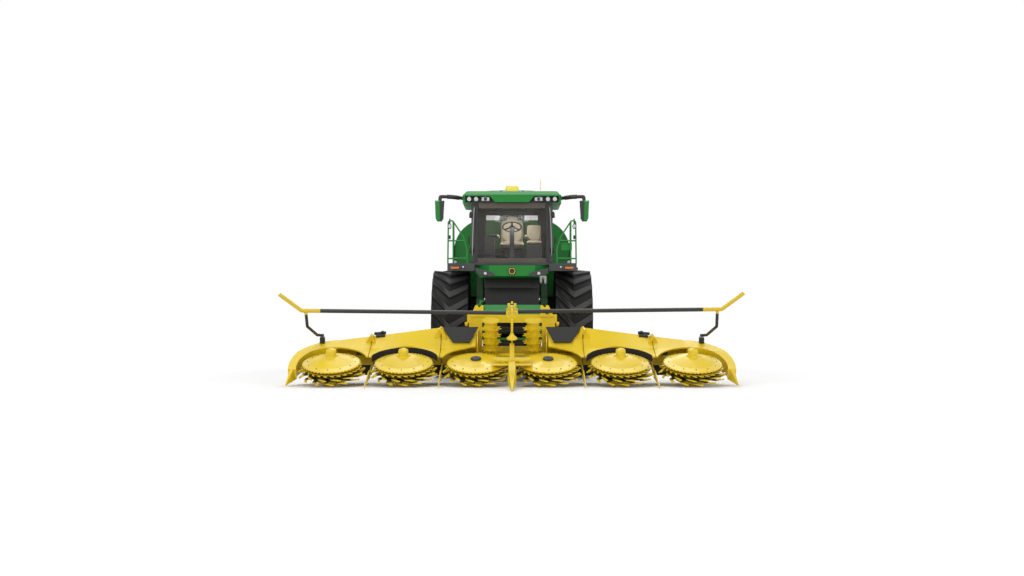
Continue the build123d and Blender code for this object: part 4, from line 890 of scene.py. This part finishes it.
fit("mirror_faces", both_sides(mirror_faces), "black", "chassis", "black_metal")
sleeves = tube_pair("arm", MIRROR_ARM, 0.033, finish["black"])
sleeves += tube_pair("boot", ARM_BOOT, 0.041, finish["black"])
riding(joined("mirror_arm_sleeves", *sleeves), "chassis", "black_metal")


def roof_trim(shape):
    for _, s in SIDES:
        slab(shape, (s * 0.20, -1.55, 3.524), (0.06, 0.06, 0.026), 0.008)
        slab(shape, (s * 0.85, -1.60, 3.452), (0.05, 0.07, 0.02), 0.006)
    lathe(shape, ((0, 0), (0, 0.045), (0.02, 0.04), (0.03, 0.02), (0.03, 0)),
          Matrix.Translation((0.54, -1.2, 3.511)), 24)


fit("roof_trim", roof_trim, "black", "chassis", "black_metal")
riding(tube("roof_rail", ROOF_RAIL, 0.005, finish["dull_steel"]), "chassis", "bright_steel")

# %% Nose
# %% [markdown]
# Dark corner pods carry the low lamps, a bare raised disc sits in the middle, and amber
# markers are let into the platform's front edge.

POD = ((0.649, 1.984), (0.556, 1.932), (0.360, 1.926), (0.299, 1.957), (0.381, 2.012), (0.679, 2.080))
DISC_PLACE = Matrix.Translation((0, -1.832, 2.02)) @ FORWARDS


def nose_pods(shape, s):
    facing_plate(shape, s, POD, -1.79, 0.058, 0.008)


def nose_disc(shape):
    lathe(shape, ((0, 0.078), (0.012, 0.078), (0.016, 0.070), (0.012, 0.062), (0.012, 0)), DISC_PLACE, 40)


def nose_disc_ring(shape):
    lathe(shape, ((0.0145, 0.060), (0.0165, 0.057), (0.0165, 0.052), (0.0145, 0.049)), DISC_PLACE, 40)


def markers(shape, s):
    slab(shape, (s * 1.055, -1.775, 2.085), (0.15, 0.02, 0.042), 0.008)


fit("nose_pods", both_sides(nose_pods), "grey", "chassis", "dark_grey")
fit("nose_disc", nose_disc, "black", "chassis", "black_metal")
fit("nose_disc_ring", nose_disc_ring, "yellow", "chassis", "header_yellow")
fit("front_markers", both_sides(markers), "amber", "chassis", "lamp")

# %% Windscreen trim
# %% [markdown]
# Black strips run down the windscreen's sides, and brown bands cover its frame above and
# below. Door hinges and grab rails stand on the pillars, a wiper is parked on the glass,
# and the guard rails carry brackets and a green plate.

SCREEN_Y = -1.655
GRAB_RAIL = ((0.72, SCREEN_Y, 2.30), (0.735, -1.69, 2.32), (0.735, -1.695, 2.5), (0.715, -1.695, 3.0),
             (0.70, -1.69, 3.20), (0.69, SCREEN_Y, 3.22))


def screen_trim(shape):
    for _, s in SIDES:
        slab(shape, (s * 0.662, -1.653, 2.745), (0.055, 0.008, 1.05), 0.003)
        for z in (2.42, 3.08):
            slab(shape, (s * 0.745, -1.56, z), (0.05, 0.12, 0.07), 0.01)
            rod(shape, (s * 0.772, -1.585, z - 0.06), (s * 0.772, -1.585, z + 0.06), 0.016)
    rod(shape, (-0.12, -1.665, 2.30), (-0.60, -1.668, 2.325), 0.007, 10)
    slab(shape, (-0.33, -1.662, 2.335), (0.56, 0.01, 0.016), 0.003, Matrix.Rotation(0.05, 4, "Y"))
    lathe(shape, ((0, 0), (0, 0.022), (0.02, 0.018), (0.024, 0)),
          Matrix.Translation((-0.12, -1.652, 2.30)) @ FORWARDS, 16)


def screen_bands(shape):
    slab(shape, (0, SCREEN_Y, 3.245), (1.24, 0.008, 0.105), 0.003)
    slab(shape, (0, SCREEN_Y, 2.215), (1.26, 0.008, 0.105), 0.003)


fit("windscreen_trim", screen_trim, "black", "chassis", "black_metal")
fit("windscreen_bands", screen_bands, "band", "chassis", "dark_grey")
rails = tube_pair("rail", GRAB_RAIL, 0.010, finish["dull_steel"])
riding(joined("pillar_grab_rails", *rails), "chassis", "bright_steel")


def rail_gear(shape, s):
    """Lamp brackets and clamps on the guard rail's front post."""
    slab(shape, (s * 1.155, -1.665, 2.86), (0.05, 0.05, 0.09), 0.01)
    rod(shape, (s * 1.155, -1.66, 2.90), (s * 1.155, -1.66, 3.00), 0.012)
    slab(shape, (s * 1.17, -1.63, 2.66), (0.06, 0.04, 0.07), 0.01)


def rail_plate(shape):
    slab(shape, (1.015, -1.635, 2.485), (0.20, 0.006, 0.14), 0.003)


fit("rail_gear", both_sides(rail_gear), "black", "chassis", "black_metal")
fit("rail_plate", rail_plate, "green", "chassis", "green")

# %% Crop flap
# %% [markdown]
# The flap that stands on the feeder is faced with black rubber.


def flap_face(shape):
    slab(shape, (0, -1.5255, 1.545), (1.014, 0.006, 0.38), 0.002)
    slab(shape, (0, -1.5305, 1.37), (1.014, 0.004, 0.03), 0.0015)


fit("crop_flap_face", flap_face, "rubber", "header", "black_rubber")

# %% Rotor caps
# %% [markdown]
# The four outer domes carry a tapered post on a raised cone, the two middle ones a sunk
# hub ring.


def rotor_hub(shape, hub):
    lathe(shape, ((0.264, 0.092), (0.290, 0.088), (0.290, 0.076), (0.2865, 0.070), (0.2865, 0.045),
                  (0.292, 0.040), (0.292, 0.0)), hub, 32)


def rotor_post(shape, hub):
    lathe(shape, ((0.232, 0.37), (0.262, 0.31), (0.300, 0.20), (0.318, 0.135), (0.322, 0.10)), hub, 40)
    lathe(shape, ((0.290, 0.098), (0.425, 0.092), (0.437, 0.084), (0.468, 0.012), (0.469, 0.0)),
          hub @ Matrix.Rotation(0.5, 4, "Z"), 6)


for k in ROTORS:
    hub = rotor_place(k)
    if k in MIDDLE_ROTORS:
        fit(f"rotor_hub_{k}", lambda shape: rotor_hub(shape, hub), "black", f"rotor_{k}", "black_metal")
    else:
        fit(f"rotor_post_{k}", lambda shape: rotor_post(shape, hub), "yellow", f"rotor_{k}", "header_yellow")

# %% Crop cover bands and wedges
# %% [markdown]
# A black strip of painted shade lines the inner walls of the arches over the second and
# fifth rotors. Black folding gear stands at the inner wings' ends, with guide blocks under
# the outer wings' seams, and rubber wedges lie beside the feeder's mouth.

SHADE_BAND = ((0.5985, 0.148), (0.5985, 0.262), (0.592, 0.262), (0.592, 0.148))
WEDGE = ((1.04, 0.615, 0.345), (0.74, 0.615, 0.345), (0.60, 0.86, 0.545), (1.235, 0.86, 0.545))


def arch_shade_band(shape, s):
    """A curved black strip on the arch's inner wall: painted shade on the wall."""
    centre = 1.5 * ROTOR_PITCH
    rows = []
    for degree in range(-72, 73, 4):
        a = radians(degree)
        rows.append([shape.verts.new(head(s * (centre + r * sin(a)), r * cos(a), w)) for r, w in SHADE_BAND])
    for near, far in zip(rows, rows[1:]):
        for k in range(4):
            shape.faces.new((near[k], near[(k + 1) % 4], far[(k + 1) % 4], far[k]))
    for row in (rows[0], rows[-1]):
        shape.faces.new(row)


def wedges(shape, s):
    """A flat plate between the feeder's mouth and the wing's cover, thickened upwards."""
    face = shape.faces.new([shape.verts.new(head(s * x, v, w)) for x, v, w in WEDGE])
    face.normal_update()
    normal = face.normal.copy()
    if normal.z < 0:
        normal = -normal
    grown = bmesh.ops.extrude_face_region(shape, geom=[face])["geom"]
    top = [item for item in grown if isinstance(item, bmesh.types.BMVert)]
    bmesh.ops.translate(shape, verts=top, vec=normal * 0.02)


def fold_gear(shape, s):
    """Cylinder, link and bracket over the wing's fold."""
    tilted(shape, (s * 2.385, 0.89, 0.42), (0.13, 0.06, 0.05), 0.014)
    tilted(shape, (s * 2.30, 0.89, 0.445), (0.06, 0.05, 0.05), 0.014)
    rod(shape, head(s * 2.24, 0.89, 0.44), head(s * 2.43, 0.89, 0.42), 0.024)
    tilted(shape, (s * 2.33, 0.855, 0.36), (0.16, 0.10, 0.12), 0.010)


def tip_gear(shape, s):
    """Dark guide block under the outer wing's seam."""
    tilted(shape, (s * 2.665, 0.545, 0.215), (0.13, 0.05, 0.05), 0.012)
    tilted(shape, (s * 2.69, 0.525, 0.175), (0.08, 0.05, 0.05), 0.012)


# Painted shade: black strips on the arches' inner walls.
fit_pair("wing_shade_band", arch_shade_band, "rubber", "inner_wing", "black_rubber")
fit("mouth_wedges", both_sides(wedges), "rubber", "header", "black_rubber")
fit_pair("fold_gear", fold_gear, "black", "inner_wing", "black_metal")
fit_pair("tip_gear", tip_gear, "black", "outer_wing", "black_metal")

# %% Header frame
# %% [markdown]
# Yellow coupling ears with dark pins stand on the frame's ends, and a slotted post with a
# rod and a bell foot stands in the middle.

EAR = ((0.515, 1.18), (0.745, 1.18), (0.745, 1.205), (0.545, 1.392), (0.515, 1.385))
POST_CHEEKS = (-0.052, 0.052)


def frame_ears(shape, s):
    facing_plate(shape, s, EAR, -2.2305, 0.024, 0.005)


def frame_pins(shape, s):
    lathe(shape, ((0, 0.03), (0.03, 0.03), (0.036, 0.02), (0.036, 0)),
          Matrix.Translation((s * 0.633, -2.254, 1.259)) @ FORWARDS, 24)


def centre_post(shape):
    for x in POST_CHEEKS:
        tilted(shape, (x, 0.030, 1.125), (0.042, 0.022, 0.26), 0.005)
    tilted(shape, (0, 0.032, 1.03), (0.10, 0.016, 0.05), 0.004)
    tilted(shape, (0, 0.032, 1.20), (0.10, 0.016, 0.04), 0.004)
    rod(shape, head(0, 0.032, 1.245), head(0, 0.032, 1.285), 0.018)
    rod(shape, head(0, 0.0, 1.01), head(0, 0.0, 0.74), 0.021)
    lathe(shape, ((0, 0.024), (0.035, 0.03), (0.07, 0.055), (0.10, 0.092), (0.118, 0.092), (0.122, 0.0)),
          aim(head(0, 0, 0.75), head(0, 0, 0) - head(0, 0, 1)), 28)


def post_bolts(shape):
    for w in (1.06, 1.10, 1.16, 1.20):
        for x in POST_CHEEKS:
            rod(shape, head(x, 0.022, w), head(x, 0.008, w), 0.010, 8)


fit("frame_ears", both_sides(frame_ears), "yellow", "header", "header_yellow")
fit("frame_pins", both_sides(frame_pins), "black", "header", "black_metal")
fit("centre_post", centre_post, "yellow", "header", "header_yellow")
fit("post_bolts", post_bolts, "dull_steel", "header", "bright_steel")

# %% Header mouth
# %% [markdown]
# A dark ribbed guard closes the mouth behind the feed stacks, dark sheets of painted shade
# hang below the beam where the header's shadow falls, a cross plate sits over the centre nose,
# and black rests carry the push bars' feet.

CROSS = ((-0.34, -0.26), (-0.27, -0.20), (0.27, -0.20), (0.34, -0.26), (0.33, -0.31), (0.06, -0.31),
         (0.05, -0.36), (-0.05, -0.36), (-0.06, -0.31), (-0.33, -0.31))


def mouth_guard(shape):
    for k in range(7):
        slab(shape, (0, -2.085 - 0.012 * (k % 2), 0.455 + 0.05 * k), (0.80, 0.02, 0.046), 0.006)
    slab(shape, (0, -2.07, 0.62), (0.94, 0.006, 0.36), 0.002)


def shade_sheet(shape, near, far):
    """Dark sheet under the header's beam between two places across: painted shade under the header."""
    tilted(shape, ((near + far) / 2, 0.70, -0.20), (abs(far - near), 0.02, 0.19), 0.006)


def cross_plate(shape):
    outline_prism(shape, CROSS, 0.014, HEADER @ Matrix.Translation((0, 0, 0.262)), 0.004)


def bar_rest(shape, s):
    tilted(shape, (s * 3.36, 0.79, 0.325), (0.085, 0.10, 0.125), 0.012)
    tilted(shape, (s * 3.36, 0.79, 0.27), (0.13, 0.14, 0.02), 0.006)


# Painted shade: dark sheets under the beams stand for the shadow beneath the header.
fit("centre_shade_sheet", lambda shape: shade_sheet(shape, -1.20, 1.20), "black", "header", "black_metal")
for side, s in SIDES:
    for wing, near, far in (("inner", 1.28, 2.40), ("outer", 2.50, 3.45)):
        fit(f"{wing}_skirt_{side}", lambda shape: shade_sheet(shape, s * near, s * far), "black",
            f"{wing}_wing_{side}", "black_metal")
fit("mouth_guard", mouth_guard, "black", "header", "black_metal")
fit("cross_plate", cross_plate, "yellow", "header", "header_yellow")
fit_pair("bar_rest", bar_rest, "black", "outer_wing", "black_metal")

# %% Feeder couplings
# %% [markdown]
# A silver multicoupler under the nose on the left, and green levers on the right.

LEVER_Y = -2.05
LEVERS = (
    # across, z, width, height
    (-0.60, 1.40, 0.10, 0.03), (-0.545, 1.46, 0.06, 0.03),
    (-0.54, 1.35, 0.07, 0.03), (-0.635, 1.35, 0.03, 0.09),
)


def coupler(shape):
    for x, z, tall in ((0.533, 1.87, 0.11), (0.612, 1.865, 0.12)):
        slab(shape, (x, -1.83, z), (0.045, 0.05, tall), 0.014)
        rod(shape, (x, -1.845, z - 0.45 * tall), (x + 0.004, -1.85, z - 0.5 * tall - 0.02), 0.014)
    slab(shape, (0.572, -1.825, 1.915), (0.12, 0.04, 0.04), 0.012)
    for k in range(3):
        rod(shape, (0.545 + 0.03 * k, -1.855, 1.88), (0.545 + 0.03 * k, -1.872, 1.88), 0.010)


def levers(shape):
    for x, z, wide, tall in LEVERS:
        slab(shape, (x, LEVER_Y, z), (wide, 0.04, tall), 0.01)
    rod(shape, (-0.60, LEVER_Y, 1.30), (-0.57, LEVER_Y, 1.48), 0.016)


fit("multicoupler", coupler, "dull_steel", "chassis", "bright_steel")
fit("coupling_levers", levers, "green", "header", "green")

# %% Hood and rear
# %% [markdown]
# Louvred intakes and latches are laid on the hood's doors, and the hood carries tail lamps
# and a stub exhaust. The platform has its treads, the cab doors their handles, and the
# tanks their caps and straps.

HOOD_FACE, INTAKE_Y, LATCH_Z = 1.18, 2.95, 1.80
TAIL_X, TAIL_Z = 1.00, 2.02
DECK_X, DECK_Z = 1.02, 2.1415
EXHAUST_PLACE = (0.58, 3.35, 3.15)


def door_intake(shape, s):
    """Louvres over a dark panel on a hood door's outer face."""
    slab(shape, (s * (HOOD_FACE + 0.001), INTAKE_Y, 2.27), (0.006, 1.16, 0.46), 0.002)
    slant = Matrix.Rotation(-0.6 * s, 4, "Y")
    for k in range(11):
        place = (s * (HOOD_FACE + 0.006), INTAKE_Y, 2.075 + 0.039 * k)
        slab(shape, place, (0.012, 1.10, 0.014), 0.003, slant)


def door_latches(shape, s):
    for y in (1.62, 3.30):
        slab(shape, (s * (HOOD_FACE + 0.002), y, LATCH_Z), (0.01, 0.14, 0.06), 0.004)
        slab(shape, (s * (HOOD_FACE + 0.010), y, LATCH_Z), (0.008, 0.09, 0.022), 0.003)


for side, s in SIDES:
    for name, build, skin in (("intake", door_intake, "black"), ("latches", door_latches, "grey")):
        fit(f"hood_{name}_{side}", lambda shape: build(shape, s), skin, f"hood_door_{side}", "black_metal")


def tail_lamps(shape, s):
    slab(shape, (s * TAIL_X, 4.146, TAIL_Z), (0.11, 0.022, 0.24), 0.008)


def tail_bezels(shape, s):
    slab(shape, (s * TAIL_X, 4.143, TAIL_Z), (0.14, 0.014, 0.28), 0.006)
    for up in (0.035, -0.045):
        slab(shape, (s * TAIL_X, 4.150, TAIL_Z + up), (0.11, 0.024, 0.008), 0.002)


def exhaust(shape):
    lathe(shape, ((-0.02, 0.13), (0.02, 0.13), (0.028, 0.09), (0.10, 0.085), (0.12, 0.095), (0.19, 0.095),
                  (0.19, 0.085), (0.04, 0.08)), Matrix.Translation(EXHAUST_PLACE), 40)


def deck_tread(shape, s):
    for k in range(22):
        slab(shape, (s * DECK_X, -1.66 + 0.115 * k, DECK_Z), (0.26, 0.03, 0.005), 0.0015)
    for out in (-0.12, 0.12):
        slab(shape, (s * (DECK_X + out), -0.45, DECK_Z), (0.012, 2.46, 0.004))


def door_gear(shape, s):
    slab(shape, (s * 0.805, -1.40, 2.62), (0.014, 0.05, 0.16), 0.005)
    rod(shape, (s * 0.815, -1.40, 2.56), (s * 0.815, -1.40, 2.68), 0.010)


def tank_caps(shape, s):
    lathe(shape, ((0, 0.0), (0, 0.07), (0.035, 0.066), (0.042, 0.05), (0.042, 0.0)),
          Matrix.Translation((s * 0.95, 0.85, 1.59)), 28)
    for y in (0.86, 1.44):
        slab(shape, (s * 1.102, y, 1.25), (0.006, 0.05, 0.62), 0.002)


fit("tail_lamps", both_sides(tail_lamps), "red", "chassis", "lamp")
fit("tail_bezels", both_sides(tail_bezels), "black", "chassis", "black_metal")
fit("exhaust_stub", exhaust, "dull_steel", "chassis", "bright_steel")
fit("deck_tread", both_sides(deck_tread), "dull_steel", "chassis", "bright_steel")
fit("tank_fittings", both_sides(tank_caps), "black", "chassis", "black_metal")
fit_pair("door_handle", door_gear, "black", "door", "black_metal")

# %% Floor
# %% [markdown]
# A large pale sheet that the machine stands on. It keeps the shadow close by, and between
# two squared distances from the middle it fades into plain white.

FADE_FROM, FADE_TO = 17.0, 48.0


def floor_sheet(shape):
    bmesh.ops.create_grid(shape, x_segments=8, y_segments=8, size=90)


floor_skin = Skin("studio_floor", 0.9, Specular_IOR_Level=0.05)
away = (floor_skin.x * floor_skin.x + floor_skin.y * floor_skin.y).ramp(FADE_FROM, FADE_TO)
lit = away * floor_skin.seen_directly()
floor_skin.set(Base_Color=floor_skin.mix(lit, colour(0.93, 0.93, 0.93), colour(0, 0, 0)))
floor_skin.set(Emission_Color=colour(1, 1, 1), Emission_Strength=lit)
floor = mesh_piece("floor", floor_sheet, floor_skin.material)

# %% Last update
# %% [markdown]
# The view layer is brought up to date.

bpy.context.view_layer.update()
